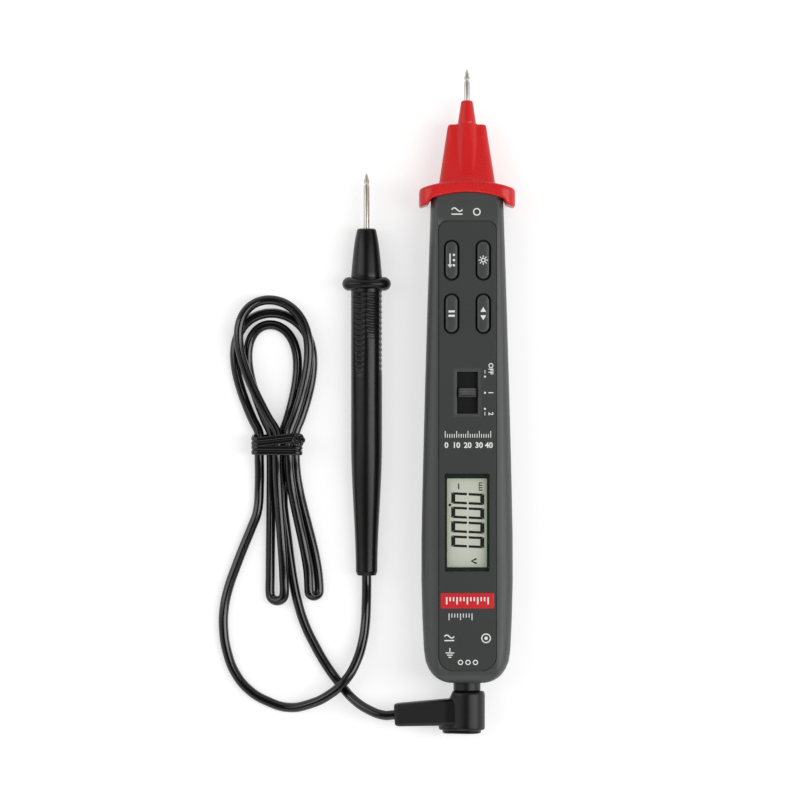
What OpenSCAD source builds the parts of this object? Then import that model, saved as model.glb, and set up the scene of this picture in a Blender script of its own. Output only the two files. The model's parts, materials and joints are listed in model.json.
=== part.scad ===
// Pen multimeter with its detachable test lead.
// The meter lies on its back with its face up (+Z) and its needle towards +Y.
// The origin is the middle of the flat back face. The test lead lies beside it, towards -X.

/* [Housing] */
// Length of the grey housing
housing_length = 169.5; // [165:0.5:180]
// Width of the housing at its widest place
housing_width = 32; // [31.4:0.1:36]
// Width of the housing at the finger guard
nose_width = 25.2; // [24.8:0.1:27]
// Width of the housing where its tail starts to round off
tail_width = 30.2; // [29.6:0.1:31]
// Width of the flat end of the tail
tail_end_width = 12; // [11:0.5:16]
// Thickness of the housing, from its back to the flat of its front
housing_thickness = 21; // [20.8:0.1:24]
// Thickness of the shells' walls
wall = 1.8; // [1.5:0.1:2]
// Distance of the widest place from the middle, towards the jack
widest_offset = 41; // [34:1:50]
// Length of the rounded tail
tail_round = 11.5; // [9:0.5:13]
// Drop of the rounded shoulders beside the face
shoulder_drop = 5.5; // [4.5:0.5:6]
// Rounding along the long edges of the back
back_round = 3.8; // [3:0.1:4]
// Width of the seam between the two shells
seam = 0.2; // [0.1:0.02:0.4]

/* [Face] */
// Width of the face plate
plate_width = 19.8; // [19.6:0.1:20]
// Thickness of the face plate
plate_thickness = 0.8; // [0.6:0.05:0.9]
// How far the face plate stands above the front shell
plate_rise = 0.25; // [0.1:0.05:0.3]
// Gap round the face plate
plate_gap = 0.25; // [0.1:0.05:0.3]
// Distance of the plate's upper end from the nose end of the housing
plate_nose_gap = 8.5; // [7.5:0.5:10]
// Distance of the plate's lower end from the tail end of the housing
plate_tail_gap = 4.6; // [4.4:0.1:6]
// Width of the display's window
window_width = 16.8; // [15:0.1:17]
// Length of the display's window
window_length = 34; // [30:0.5:35]

/* [Keys] */
// Width of a key
key_width = 4.1; // [3.6:0.1:4.4]
// Length of a key
key_length = 12.9; // [11:0.1:13.4]
// Height of a key above the face plate
key_rise = 0.9; // [0.8:0.1:1.4]
// Gap round a key in the face plate
key_gap = 0.6; // [0.4:0.05:0.7]
// How far a key travels when it is pressed
key_travel = 0.7; // [0.4:0.1:0.8]
// Distance between the two columns of keys
key_column_pitch = 11; // [10.4:0.1:11.4]
// Distance between the two rows of keys
key_row_pitch = 18.6; // [17.6:0.1:19]
// Distance from the nose end to the middle of the first row
key_row_place = 22.1; // [21.6:0.1:23]

/* [Mode slider] */
// Width of the slider's slot
slot_width = 7.3; // [6.4:0.1:7.8]
// Length of the slider's slot
slot_length = 14.6; // [14.4:0.1:15]
// Distance between two positions of the slider
slider_step = 5.6; // [5:0.1:5.6]
// Width of the slider's raised ridge
ridge_width = 6.2; // [5:0.1:6.4]
// Length of the slider's raised ridge
ridge_length = 3.2; // [2:0.1:3.4]
// Height of the ridge above the face plate
ridge_rise = 0.7; // [0.4:0.1:1.2]

/* [Nose] */
// Width of the finger guard
guard_width = 33.6; // [33:0.2:38]
// Thickness of the finger guard in its middle
guard_thickness = 4.2; // [3.6:0.1:5]
// Radius of the guard's rear face
guard_back_radius = 37; // [34:1:45]
// Radius of the guard's front face
guard_front_radius = 50; // [44:1:60]
// Width of the nose block at the finger guard
block_width = 19.4; // [17:0.2:22]
// Width of the nose block at its front end
block_front_width = 13.4; // [12:0.1:15]
// Depth of the nose block at the finger guard
block_depth = 15; // [13.6:0.2:17]
// Depth of the nose block at its front end
block_front_depth = 3.2; // [3:0.1:5]
// Length of the nose block
block_length = 20; // [17:0.5:24]
// Length of the nozzle in front of the nose block
nozzle_length = 8.4; // [6:0.2:11]
// Diameter of the nozzle where it leaves the nose block
nozzle_diameter = 6.6; // [6.2:0.1:7.4]
// Diameter of both needles
needle_diameter = 2.1; // [1.8:0.1:2.3]
// Length of the meter's needle outside its nozzle
needle_length = 10.8; // [9:0.2:14]

/* [Jack and plug] */
// Outside diameter of the jack's bush
bush_diameter = 9.5; // [9:0.1:10]
// How far the bush stands out of the housing
bush_rise = 3; // [2:0.1:4]
// Diameter of the plug's shroud
shroud_diameter = 7; // [6.6:0.1:7.2]
// Length of the plug's shroud outside its boot
shroud_length = 18; // [16:0.5:19]
// Diameter of the plug's pin
pin_diameter = 4; // [3.6:0.1:4.1]
// How far the plug is drawn out to free it
unplug_travel = 22; // [19:1:30]
// Diameter of the plug's moulded boot
boot_diameter = 12.6; // [11:0.1:14]
// Length of the boot in line with the jack
boot_length = 13.4; // [12:0.1:16]
// Thickness of the cap that closes the boot
cap_thickness = 1.5; // [1:0.1:2.4]
// Reach of the boot's side arm from the jack's axis
arm_reach = 25.5; // [25.5:0.5:25.5]
// Diameter of the arm at the boot
arm_diameter = 9.2; // [8.4:0.1:10]
// Diameter of the arm where the cord leaves it
arm_end_diameter = 7.9; // [6:0.1:9]

/* [Test lead] */
// Diameter of the lead's cord
cord_diameter = 3.4; // [3:0.1:3.4]
// Length of the probe's handle behind its finger guard
handle_length = 100; // [95:0.5:110]
// Diameter of the probe's handle at the grip
handle_diameter = 10.9; // [10:0.1:11.6]
// Length of the grip
grip_length = 54; // [40:1:60]
// Diameter of the probe's handle where the cord leaves it
handle_tail_diameter = 7.6; // [7:0.1:8.5]
// Width of the probe's finger guard
collar_width = 17.1; // [15:0.1:20]
// Height of the probe's finger guard
collar_height = 12.4; // [12.2:0.1:15]
// Thickness of the probe's finger guard
collar_thickness = 4.9; // [3.6:0.1:5.6]
// Length of the probe's tapered nose
probe_nose_length = 17; // [14:0.5:20]
// Diameter of the probe's nose at its front
probe_nose_diameter = 5.8; // [5:0.1:6.6]
// Length of the probe's needle outside its nose
probe_needle_length = 19.3; // [15:0.1:24]

/* [Batteries] */
// Diameter of one cell
cell_diameter = 10.3; // [10:0.1:10.5]
// Length of one cell with its button
cell_length = 44.5; // [40:0.5:45]

/* [Hidden] */
$fn = 64;

// running clearances
slip = 0.1;       // between parts that are pushed together
free_gap = 0.15;  // round the shroud, which slides in its bush
pin_slip = 0.04;  // round pins and screws in their holes
cut = 1;          // how far a cutting shape runs past a face

// heights in the meter, from the back upwards
front_z = housing_thickness;
axis_z = housing_thickness / 2;
plate_top = front_z + plate_rise;
plate_bottom = plate_top - plate_thickness;
roof_z = front_z - wall;
flange = 1;
lens_top = plate_top - slip;
lens_bottom = roof_z - flange;
glass_thickness = 1.8;
glass_top = lens_bottom - slip;
glass_bottom = glass_top - glass_thickness;
light_thickness = 1.3;
board_thickness = 1.2;
board_top = glass_bottom - slip - light_thickness - board_thickness / 3;
board_bottom = board_top - board_thickness;

// places along the meter
y_nose = housing_length / 2;
y_tail = -housing_length / 2;
y_wide = -widest_offset;
y_round = y_tail + tail_round;
y_plate_top = y_nose - plate_nose_gap;
y_plate_end = y_tail + plate_tail_gap;
y_keys = y_nose - key_row_place;

// form of the housing
nose_wall = 2.4;              // thickness of the housing's end behind the guard
flank_power = 1.25;
flat_land = 0.35;             // flat beside the face plate
plate_top_round = 3;
plate_end_round = 4.9;
flat_limit_share = 0.8;       // widest the flat may be, of the half width
nose_front_drop = 1.2;        // how far the front drops towards the guard
nose_back_rise = 1.5;         // how far the back rises towards the guard
back_taper = 40;              // length over which the back rises
tail_front_drop = 4.5;        // rounding of the front edge at the tail
tail_front_round = 4.2;       // length of that rounding
tail_back_rise = 3.5;
tail_back_round = 6;
nose_shares = [0, 0.02, 0.05, 0.1, 0.17, 0.25, 0.35, 0.45, 0.55, 0.65, 0.75, 0.85, 0.93, 1];
tail_angles = [20, 35, 48, 58, 67, 76, 83, 90];
corner_steps = 4;
shoulder_steps = 7;

// finger guard and nose block
guard_seat = 1.5;             // how far the guard's middle stands off the housing's end
guard_front_y = y_nose + slip + guard_thickness + guard_seat;
guard_back_y = guard_front_y - guard_thickness;
guard_height = housing_thickness;
guard_round = 5.2;            // corner radius of the guard, seen from the front
guard_tip = 2.6;              // rounding of the guard's side ends
block_corner = 2.6;           // corner radius of the nose block
block_root = 2;               // how far the block reaches into the guard
block_front_y = guard_front_y + block_length;
nozzle_tip_diameter = 3.4;
nozzle_round = 0.8;
nozzle_end_y = block_front_y + nozzle_length;
rib_root = 16.5;                // how far the nozzle's cone runs back on the block
needle_tip_y = nozzle_end_y + needle_length;
socket_diameter = 4.2;
socket_length = 16;
socket_y = guard_front_y + slip;
needle_inside = 15;
point_length = 3.4;           // length of a needle's point
point_step = 0.3;             // length of the barb's shoulder beyond its neck
point_end = 0.15;
neck_length = 1.2;
neck_diameter = 1.6;
root_step = 0.35;             // the needle is thinner inside its nozzle
root_radius = needle_diameter / 2 - root_step;
strip_width = 3;
strip_thickness = 0.5;

// key parts
key_flange = 0.8;             // how far a key's flange reaches past its opening
key_stem_diameter = 3.2;
switch_size = 6;
switch_height = 2.5;
well_gap = 0.3;
key_stem_reach = 0.5;         // how far a key's stem stands in its switch at rest

// slider parts
shutter_thickness = 0.8;
shutter_gap = 0.2;
shutter_width = slot_width + 2 * flange;
shutter_length = slot_length + 2 * slider_step + flange;
shutter_top = roof_z - shutter_gap;
shutter_bottom = shutter_top - shutter_thickness;
fork_width = 1.8;
fork_length = 2;
slide_base_width = 8;
slide_base_height = 3.1;
slide_floor = 0.5;

// name plate, display and board parts
name_width = 18.6;
name_length = 5.4;
name_thickness = 0.35;
name_depth = 0.25;
name_round = 0.4;
name_share = 0.704;           // place between the plate's lower end and the window
frame_wall = 0.9;
connector_width = 1.6;
chip_size = 9;
chip_height = 1.2;
chip_round = 0.4;
buzzer_radius = 5;
buzzer_height = 3;
parts_gap = 4;                // between the bay, the chip and the buzzer
guard_end = 8;                // how far the guard's side ends reach back
block_slice_thickness = 0.4;
few_facets = 32;
needle_root_y = nozzle_end_y - needle_inside;
rib_radius = nozzle_diameter / 2 + rib_root * (nozzle_diameter - nozzle_tip_diameter) / 2 / nozzle_length;
strip_overlap = 2;
contact_tail = 1;

// screws and posts
post_radius = 2.4;
screw_radius = 0.9;
head_radius = 1.8;
head_height = 1.3;
head_recess = 0.4;
screw_length = 14.5;
nose_post_x = 7.6;
nose_post_gap = 9.3;          // from the nose end to the posts
nose_post_y = y_nose - nose_post_gap;
tail_post_x = 10.8;
tail_post_gap = 14.5;
tail_post_y = y_tail + tail_post_gap;
posts = [[nose_post_x, nose_post_y], [-nose_post_x, nose_post_y],
    [tail_post_x, tail_post_y], [-tail_post_x, tail_post_y]];

// board and batteries
bush_inside = 18.5;           // how far the jack's bush reaches into the housing
board_width = 20.6;
board_nose_gap = 12.6;        // from the nose end to the board
board_tail_gap = 23.5;        // from the tail end to the board
board_y1 = y_nose - board_nose_gap;
board_y0 = y_tail + board_tail_gap;

// What the keys, the slider and the display leave free over the board is shared out between them.
key_flange_length = key_length + 2 * key_gap + 2 * key_flange;
frame_length = window_length + flange + 2 * frame_wall;
keys_end_y = y_keys - key_row_pitch - key_flange_length / 2;
face_room = keys_end_y - board_y0 - shutter_length - frame_length;
slider_gap_share = 0.185;
window_gap_share = 0.396;
y_slot = keys_end_y - slider_gap_share * face_room - shutter_length / 2;
y_window = y_slot - shutter_length / 2 - window_gap_share * face_room - frame_length / 2;
y_name = mix(y_plate_end, y_window - window_length / 2, name_share);

cell_rest = 0.6;              // height of the cells above the shell's inside
cell_z = wall + cell_rest + cell_diameter / 2;
cell_x = cell_diameter / 2 + slip;
cell_button = 0.9;
cell_button_diameter = 3.6;
jack_room = 6.15;             // from the jack's contact to the wall of the cells' bay
bay_slack = 2.6;              // room for the contacts at each end of the cells
bay_wall = 1.2;
bay_y0 = y_tail + bush_inside + contact_tail + jack_room + bay_wall;
bay_y1 = bay_y0 + cell_length + 2 * bay_slack;
y_bay = (bay_y0 + bay_y1) / 2;
bay_gap = 0.4;
bay_half = cell_diameter + 2 * slip + bay_gap;
contact_thickness = 0.4;
spring_wire = 0.6;
door_recess = 0.1;            // the door stays clear of the table
door_thickness = 1.5;
door_gap = 0.2;
door_half = 11.4;
door_y0 = bay_y0 - bay_wall / 2;
door_y1 = bay_y1 + 2 * post_radius + bay_wall;
hinge_y = door_y0 + door_thickness / 2; // the door turns about its rounded edge
door_screw_y = bay_y1 + bay_wall + post_radius;
door_screw_length = 5;
ledge_height = 1.2;           // ledge that the door lies under
y_chip = door_y1 + parts_gap + chip_size / 2;
y_buzzer = y_chip + chip_size / 2 + parts_gap + buzzer_radius;
door_play = 0.5;              // room round the door's screw, which swings out with it
hook_reach = 1.4;
hook_thickness = 0.9;
hook_width = 8;
insert_radius = 2.1;
insert_length = 4;

// jack and plug
bush_wall = (bush_diameter - shroud_diameter) / 2 - free_gap;
bush_floor = 1.6;
bush_collar = 1.2;            // the bush's collars hold the shells' end wall
bush_end_y = y_tail - bush_rise;
bush_root_y = y_tail + bush_inside;
contact_wall = 0.5;
contact_radius = pin_diameter / 2 + pin_slip + contact_wall;
contact_length = 17;
shroud_wall = 0.75;
boot_top_y = bush_end_y - slip;
boot_bottom_y = boot_top_y - boot_length;
boot_round = 1.2;
shroud_seat = 5;
pin_seat = 9;
pin_setback = 1;              // the shroud reaches past the pin
arm_place_share = 0.53;       // of the boot's length, from its jack end
arm_lean = 3;                 // degrees
arm_y = boot_top_y - boot_length * arm_place_share;
cap_setback = 0.4;

// probe
probe_x = -35.2;
probe_y = 54.8;               // middle of the probe's finger guard
collar_drop = collar_height / 2;
probe_tilt = asin((collar_height - handle_tail_diameter) / 2 / (handle_length + collar_thickness / 2));
probe_bore_depth = 22;
probe_nose_round = 0.5;
nose_steps = 8;

// test lead's cord
cord_r = cord_diameter / 2;
cord_sides = 8;
arm_dir = [-cos(arm_lean), -sin(arm_lean), 0];
cord_exit = [0, arm_y, axis_z] + arm_reach * arm_dir;
tail_dir = [0, -cos(probe_tilt), -sin(probe_tilt)];
probe_exit = [probe_x, probe_y, collar_drop] + (handle_length + collar_thickness / 2) * tail_dir;

// Routes of the free stretches: points on the table beside the meter
plug_points = [[-34.5, -94.6, 9], [-40, -91, 5.6], [-44.4, -86.2, 2.2], [-49, -80, 1.8], [-53.4, -72.5, 1.7],
    [-57, -65, 1.7], [-59.4, -57.5, 1.7], [-61, -50, 1.7], [-62.2, -42, 1.7], [-63.2, -34, 1.7],
    [-64.2, -26.5, 1.7]];
probe_points = [[-35.3, -57, 3], [-35.6, -64, 3], [-36.6, -71, 3.8], [-38.8, -78, 5.2], [-42.4, -84.2, 6.6],
    [-48.4, -89.6, 6.2], [-55.4, -93, 4.2], [-62.6, -94.3, 2.3], [-70, -92.2, 1.7], [-76.6, -88.2, 1.7],
    [-81.6, -82, 1.7], [-84.4, -74.6, 1.7], [-85.6, -67, 1.7], [-85.4, -59.4, 1.7], [-83.8, -52, 1.7],
    [-81.2, -44.6, 1.7], [-78.4, -37.4, 1.7], [-75.6, -30.6, 1.7], [-73.8, -25.8, 1.7]];

// Hank: three loops above the tie, two below it, wound as one cord.
tie_x = -66.7;
tie_y = -1.8;
strand_pitch = 4.2;           // between the strands that lie on the table, at the tie
top_layer = 4;                // height of the upper layer of strands over the lower one
tie_lift = 1.2;               // the tie's wrap passes under the strands
lift_reach = 14;              // where the strands leave the table for the tie
hank_sides = 6;
loop_steps = 24;
fold_steps = 8;
tip_rise = 2.4;               // height of the upper strand where a fold begins
tip_share = 0.6;              // of a lower loop's side, up to where its upper strand drops
arc_sag = 1.4;                // how far the upper layer sinks at the top of its loop
sag_sharpness = 16;
// upper loops: reach, bulge to each side, lean of the top, height over the lower layer
outer_loop = [51, 10.7, -4.8, top_layer];
middle_loop = [46.4, 9, -2, 0];
inner_loop = [42.3, 7.2, -2.4, 0];
// lower loops: reach, half width of the fold, place of the fold beside the tie
left_fold = [54.9, 2.5, 0];
right_fold = [53.2, 1.7, 13];
strand_a = -1.5 * strand_pitch;
strand_b = -0.5 * strand_pitch;
strand_c = 0;
strand_d = 0.5 * strand_pitch;
strand_e = strand_pitch;
strand_f = 1.5 * strand_pitch;
tail_run = lift_reach + cord_diameter;
tie_wrap = 0.9;               // thickness of the tie
tie_width = 3.5;
tie_step = 0.3;               // gap between the tie's two wraps
hold_half = tie_width + tie_step; // the strands run straight through the tie
tie_round = 2.6;
tie_gap = 0.12;
knot_radius = 1.1;
knot_ring = 1.7;

function mix(a, b, t) = a + (b - a) * t;
function within(t) = max(0, min(1, t));
function ease(t) = t * t * (3 - 2 * t);
function dip(t) = 1 - sqrt(1 - pow(within(t), 2));
function unit(v) = v / norm(v);

// Half width, back and front of the housing at a place along it.
function half_width(y) =
    y >= y_wide ? mix(housing_width, nose_width, pow((y - y_wide) / (y_nose - y_wide), flank_power)) / 2
    : y >= y_round ? mix(housing_width, tail_width, pow((y_wide - y) / (y_wide - y_round), 2)) / 2
    : mix(tail_end_width, tail_width, 1 - dip((y_round - y) / tail_round)) / 2;
function back_z(y) = nose_back_rise * ease(within((y - y_nose + back_taper) / back_taper))
    + tail_back_rise * dip((y_tail + tail_back_round - y) / tail_back_round);
function top_z(y) = front_z - nose_front_drop * ease(within((y - y_plate_top) / plate_nose_gap))
    - tail_front_drop * dip((y_tail + tail_front_round - y) / tail_front_round);

// One cross-section of the housing, inset by the wall for its hollow.
function section(y, inset) =
    let (w = half_width(y) - inset, zb = back_z(y) + inset, zt = top_z(y) - inset)
    let (rb = back_round - inset / 2, drop = shoulder_drop - inset / 2)
    let (flat = min(plate_width / 2 + flat_land, half_width(y) * flat_limit_share) - inset / 2)
    let (right = concat(
        [for (i = [0:corner_steps]) let (a = 90 * i / corner_steps)
            [w - rb + rb * sin(a), y, zb + rb - rb * cos(a)]],
        [for (i = [0:shoulder_steps]) let (a = 90 * i / shoulder_steps)
            [flat + (w - flat) * cos(a), y, zt - drop + drop * sin(a)]]))
    concat(right, [for (i = [len(right) - 1:-1:0]) [-right[i][0], y, right[i][2]]]);

function ring_faces(rings, sides) = concat(
    [[for (j = [0:sides - 1]) j]],
    [for (i = [0:rings - 2]) for (j = [0:sides - 1]) let (k = (j + 1) % sides)
        each [[i * sides + j, (i + 1) * sides + j, (i + 1) * sides + k],
            [i * sides + j, (i + 1) * sides + k, i * sides + k]]],
    [[for (j = [sides - 1:-1:0]) (rings - 1) * sides + j]]);

module loft(rings) {
    polyhedron([for (ring = rings) each ring], ring_faces(len(rings), len(rings[0])), convexity = 8);
}

// A tube of a given radius along points that never stand upright.
function tube_dir(p, i) = unit(p[min(i + 1, len(p) - 1)] - p[max(i - 1, 0)]);
function tube_ring(c, dir, r, sides) =
    let (side = unit(cross([0, 0, 1], dir)), up = cross(dir, side))
    [for (k = [0:sides - 1]) let (a = 360 * (k + 0.5) / sides) c + r * (cos(a) * side + sin(a) * up)];

module tube(points, r, sides) {
    loft([for (i = [0:len(points) - 1]) tube_ring(points[i], tube_dir(points, i), r, sides)]);
}

// Rounded bars and plates, made of true rounds.
module stadium(w, l) {
    square([w, l - w], center = true);
    for (s = [-1, 1]) translate([0, s * (l - w) / 2]) circle(d = w);
}

module rounded(w, l, r) {
    square([w - 2 * r, l], center = true);
    square([w, l - 2 * r], center = true);
    for (x = [-1, 1], y = [-1, 1]) translate([x * (w / 2 - r), y * (l / 2 - r)]) circle(r);
}

module slab(w, l, z0, z1, r = 0) {
    translate([0, 0, z0]) linear_extrude(z1 - z0)
        if (r > 0) rounded(w, l, r); else square([w, l], center = true);
}

// A round bar along +Y.
module along_y(y0, y1) {
    translate([0, y1, 0]) rotate([90, 0, 0]) linear_extrude(y1 - y0) children();
}

module turned_y(y0) {
    translate([0, y0, 0]) rotate([-90, 0, 0]) rotate_extrude() children();
}

module housing(inset) {
    nose = [for (s = nose_shares) mix(y_nose + guard_seat, y_round, s)];
    tail = [for (a = tail_angles) y_round - (tail_round - inset) * sin(a)];
    intersection() {
        loft([for (y = concat(nose, tail)) section(y, inset)]);
        linear_extrude(2 * housing_thickness) difference() {
            translate([-housing_width, y_tail - cut])
                square([2 * housing_width, housing_length + 2 * guard_seat + cut]);
            difference() {
                translate([-housing_width, 0]) square([2 * housing_width, housing_length]);
                translate([0, guard_back_y - guard_back_radius])
                    circle(guard_back_radius - slip - nose_wall * inset / wall);
                translate([-housing_width, 0]) square([2 * housing_width, guard_back_y - guard_back_radius]);
            }
        }
    }
}
module shell_half(z0, z1) {
    difference() {
        intersection() {
            housing(0);
            slab(2 * housing_width, 2 * housing_length, z0, z1);
        }
        housing(wall);
        translate([0, 0, axis_z]) along_y(y_nose - nose_wall - cut, y_nose + nose_wall) circle(strip_width);
        translate([0, 0, axis_z]) along_y(y_tail - cut, y_tail + wall + cut) circle(bush_diameter / 2 + slip);
    }
}

module plate_outline(grow) {
    w = plate_width + 2 * grow;
    top_round = plate_top_round + grow;
    end_round = plate_end_round + grow;
    y1 = y_plate_top + grow;
    y0 = y_plate_end - grow;
    for (s = [-1, 1]) {
        translate([s * (w / 2 - top_round), y1 - top_round]) circle(top_round);
        translate([s * (w / 2 - end_round), y0 + end_round]) circle(end_round);
    }
    translate([-w / 2, y0 + end_round]) square([w, y1 - y0 - top_round - end_round]);
    translate([-w / 2 + end_round, y0]) square([w - 2 * end_round, end_round]);
    translate([-w / 2 + top_round, y1 - top_round]) square([w - 2 * top_round, top_round]);
}

module face_cuts() {
    for (c = [-1, 1], r = [0, 1]) translate([c * key_column_pitch / 2, y_keys - r * key_row_pitch])
        stadium(key_width + 2 * key_gap, key_length + 2 * key_gap);
    translate([0, y_slot]) square([slot_width, slot_length], center = true);
    translate([0, y_window]) square([window_width, window_length], center = true);
}

module front_shell() {
    color("dimgray") difference() {
        union() {
            shell_half(axis_z + seam / 2, 2 * housing_thickness);
            for (p = posts) translate([p[0], p[1], axis_z + seam / 2])
                cylinder(r = post_radius, h = roof_z - axis_z);
        }
        translate([0, 0, plate_bottom]) linear_extrude(housing_thickness) plate_outline(plate_gap);
        translate([0, 0, axis_z]) linear_extrude(housing_thickness) face_cuts();
        for (p = posts) translate([p[0], p[1], axis_z - cut])
            cylinder(r = screw_radius + pin_slip, h = cut + screw_length + head_recess + head_height - axis_z + slip);
    }
}

module rear_shell() {
    color("dimgray") difference() {
        union() {
            shell_half(-cut, axis_z - seam / 2);
            for (p = posts) translate([p[0], p[1], wall - slip])
                cylinder(r = post_radius, h = axis_z - seam / 2 - wall + slip);
            translate([0, door_screw_y, wall - slip])
                cylinder(r = insert_radius + bay_wall, h = insert_length + 2 * bay_wall);
            for (y = [bay_y0 - bay_wall / 2, bay_y1 + bay_wall / 2]) translate([0, y])
                slab(2 * bay_half, bay_wall, wall - slip, board_bottom - slip);
            translate([0, (door_y0 + door_y1) / 2]) slab(2 * (door_half + door_gap + bay_wall),
                door_y1 - door_y0 + 2 * (door_gap + bay_wall), wall - slip, wall + ledge_height);
        }
        for (p = posts) translate([p[0], p[1], -cut]) {
            cylinder(r = head_radius + slip, h = cut + head_recess + head_height);
            cylinder(r = screw_radius + slip, h = housing_thickness);
        }
        translate([0, (door_y0 + door_y1) / 2]) slab(2 * (door_half + door_gap), door_y1 - door_y0 + 2 * door_gap,
            -cut, door_recess + door_thickness + slip);
        translate([0, y_bay]) slab(2 * bay_half, bay_y1 - bay_y0, -cut, wall + ledge_height + cut);
        translate([0, door_screw_y, -cut])
            cylinder(r = insert_radius + pin_slip, h = cut + wall + insert_length + bay_wall);
        translate([0, door_y0 - hook_reach / 2])
            slab(hook_width + 2 * door_gap, 2 * hook_reach + bay_wall, door_recess + door_thickness - slip,
                door_recess + door_thickness + hook_thickness + hook_reach + slip);
    }
}

module face_plate() {
    color("darkslategray") difference() {
        translate([0, 0, plate_bottom]) linear_extrude(plate_thickness) difference() {
            plate_outline(0);
            face_cuts();
        }
        translate([0, y_name]) slab(name_width + 2 * slip, name_length + 2 * slip, plate_top - name_depth, plate_top + cut,
            name_round);
    }
}

module name_plate() {
    color("crimson") translate([0, y_name]) slab(name_width, name_length, plate_top - name_depth,
        plate_top - name_depth + name_thickness, name_round);
}

// Red moulding: finger guard, nose block and nozzle in one piece.
module guard_shape() {
    intersection() {
        linear_extrude(guard_height) difference() {
            intersection() {
                translate([0, guard_front_y - guard_front_radius]) circle(guard_front_radius);
                translate([0, guard_front_y - guard_width / 2]) rounded(guard_width, guard_width, guard_tip);
            }
            translate([0, guard_back_y - guard_back_radius]) circle(guard_back_radius);
            translate([0, guard_back_y - guard_width]) square([2 * guard_width, guard_width + guard_end], center = true);
        }
        translate([0, 0, axis_z]) along_y(y_nose - guard_width, guard_front_y + cut)
            rounded(guard_width, guard_height, guard_round);
    }
}

module block_slice(y, w, d) {
    translate([0, y, axis_z]) rotate([90, 0, 0]) linear_extrude(block_slice_thickness)
        rounded(w, d, min(block_corner, d / 2 - slip), $fn = few_facets);
}

module nose_guard() {
    color("red") difference() {
        union() {
            guard_shape();
            hull() {
                block_slice(guard_front_y - block_root, block_width, block_depth);
                block_slice(guard_front_y, block_width, block_depth);
                block_slice(block_front_y, block_front_width, block_front_depth);
            }
            translate([0, 0, axis_z]) {
                turned_y(block_front_y - rib_root) polygon([[0, 0], [rib_radius, 0],
                    [nozzle_diameter / 2, rib_root], [nozzle_tip_diameter / 2, rib_root + nozzle_length - nozzle_round],
                    [nozzle_tip_diameter / 2 - nozzle_round / 2, rib_root + nozzle_length], [0, rib_root + nozzle_length]]);
            }
        }
        translate([0, 0, axis_z]) {
            along_y(socket_y - cut, nozzle_end_y + cut) circle(root_radius + pin_slip);
            along_y(y_nose, socket_y + socket_length + slip) circle(socket_diameter / 2 + pin_slip);
        }
    }
}

module needle_socket() {
    color("goldenrod") translate([0, 0, axis_z]) difference() {
        along_y(socket_y, socket_y + socket_length) circle(d = socket_diameter);
        along_y(needle_root_y - slip, socket_y + socket_length + cut) circle(root_radius + pin_slip);
    }
}

// A needle from its root to its point, along +Y. Its root is thinner, up to where it comes out.
module needle(y0, out, y1) {
    r = needle_diameter / 2;
    shaft = y1 - y0 - point_length - neck_length;
    turned_y(y0) polygon([[0, 0], [root_radius, 0], [root_radius, out - y0], [r, out - y0], [r, shaft],
        [neck_diameter / 2, shaft + neck_length / 2],
        [neck_diameter / 2, shaft + neck_length], [r, shaft + neck_length + point_step],
        [point_end, y1 - y0], [0, y1 - y0]]);
}

module meter_needle() {
    color("silver") translate([0, 0, axis_z]) needle(needle_root_y, nozzle_end_y, needle_tip_y);
}

// Strip that joins the needle's socket to the board.
module needle_strip() {
    z0 = axis_z - strip_thickness / 2;
    color("gold") {
        translate([-strip_width / 2, board_y1 - strip_overlap, z0])
            cube([strip_width, socket_y - board_y1 + strip_overlap, strip_thickness]);
        translate([-strip_width / 2, board_y1 - strip_overlap, z0])
            cube([strip_width, strip_thickness, board_bottom - z0]);
    }
}

module display_window() {
    color("lightgray", 0.5) translate([0, y_window]) {
        slab(window_width - 2 * slip, window_length - 2 * slip, roof_z - slip, lens_top);
        slab(window_width + 2 * flange, window_length + 2 * flange, lens_bottom, roof_z - slip / 2);
    }
}

module display_glass() {
    color("darkseagreen") translate([0, y_window])
        slab(window_width + flange, window_length + flange, glass_bottom, glass_top);
}

module display_frame() {
    color("whitesmoke") translate([0, y_window]) difference() {
        slab(window_width + flange + 2 * frame_wall, frame_length, board_top, glass_top);
        slab(window_width + flange + 2 * slip, window_length + flange + 2 * slip, board_top - cut, glass_top + cut);
    }
}

module display_backlight() {
    color("white") translate([0, y_window])
        slab(window_width + flange, window_length + flange - 4 * connector_width, glass_bottom - light_thickness, glass_bottom);
}

module display_connectors() {
    color("hotpink") for (s = [-1, 1])
        translate([0, y_window + s * (window_length + flange - connector_width) / 2])
            slab(window_width - flange, connector_width, board_top, glass_bottom);
}

module circuit_board() {
    color("darkgreen") translate([0, (board_y0 + board_y1) / 2])
        slab(board_width, board_y1 - board_y0, board_bottom, board_top);
}

module tact_switches() {
    color("slategray") for (c = [-1, 1], r = [0, 1])
        translate([c * key_column_pitch / 2, y_keys - r * key_row_pitch]) difference() {
            slab(switch_size, switch_size, board_top, board_top + switch_height);
            translate([0, 0, board_top + switch_height - key_stem_reach - key_travel - slip])
                cylinder(d = key_stem_diameter + 2 * well_gap, h = switch_height);
        }
}

module slide_switch() {
    color("gray") translate([0, y_slot]) difference() {
        slab(slide_base_width, slot_length + 3 * slider_step / 2, board_top, board_top + slide_base_height);
        slab(fork_width + 2 * well_gap, fork_length + 2 * slider_step + 2 * well_gap,
            board_top + slide_floor, board_top + slide_base_height + cut);
    }
}

module processor_chip() {
    color("black") translate([0, y_chip]) slab(chip_size, chip_size, board_bottom - chip_height, board_bottom, chip_round);
}

module buzzer() {
    color("darkgoldenrod") translate([0, y_buzzer, board_bottom - buzzer_height])
        cylinder(r = buzzer_radius, h = buzzer_height);
}

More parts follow.
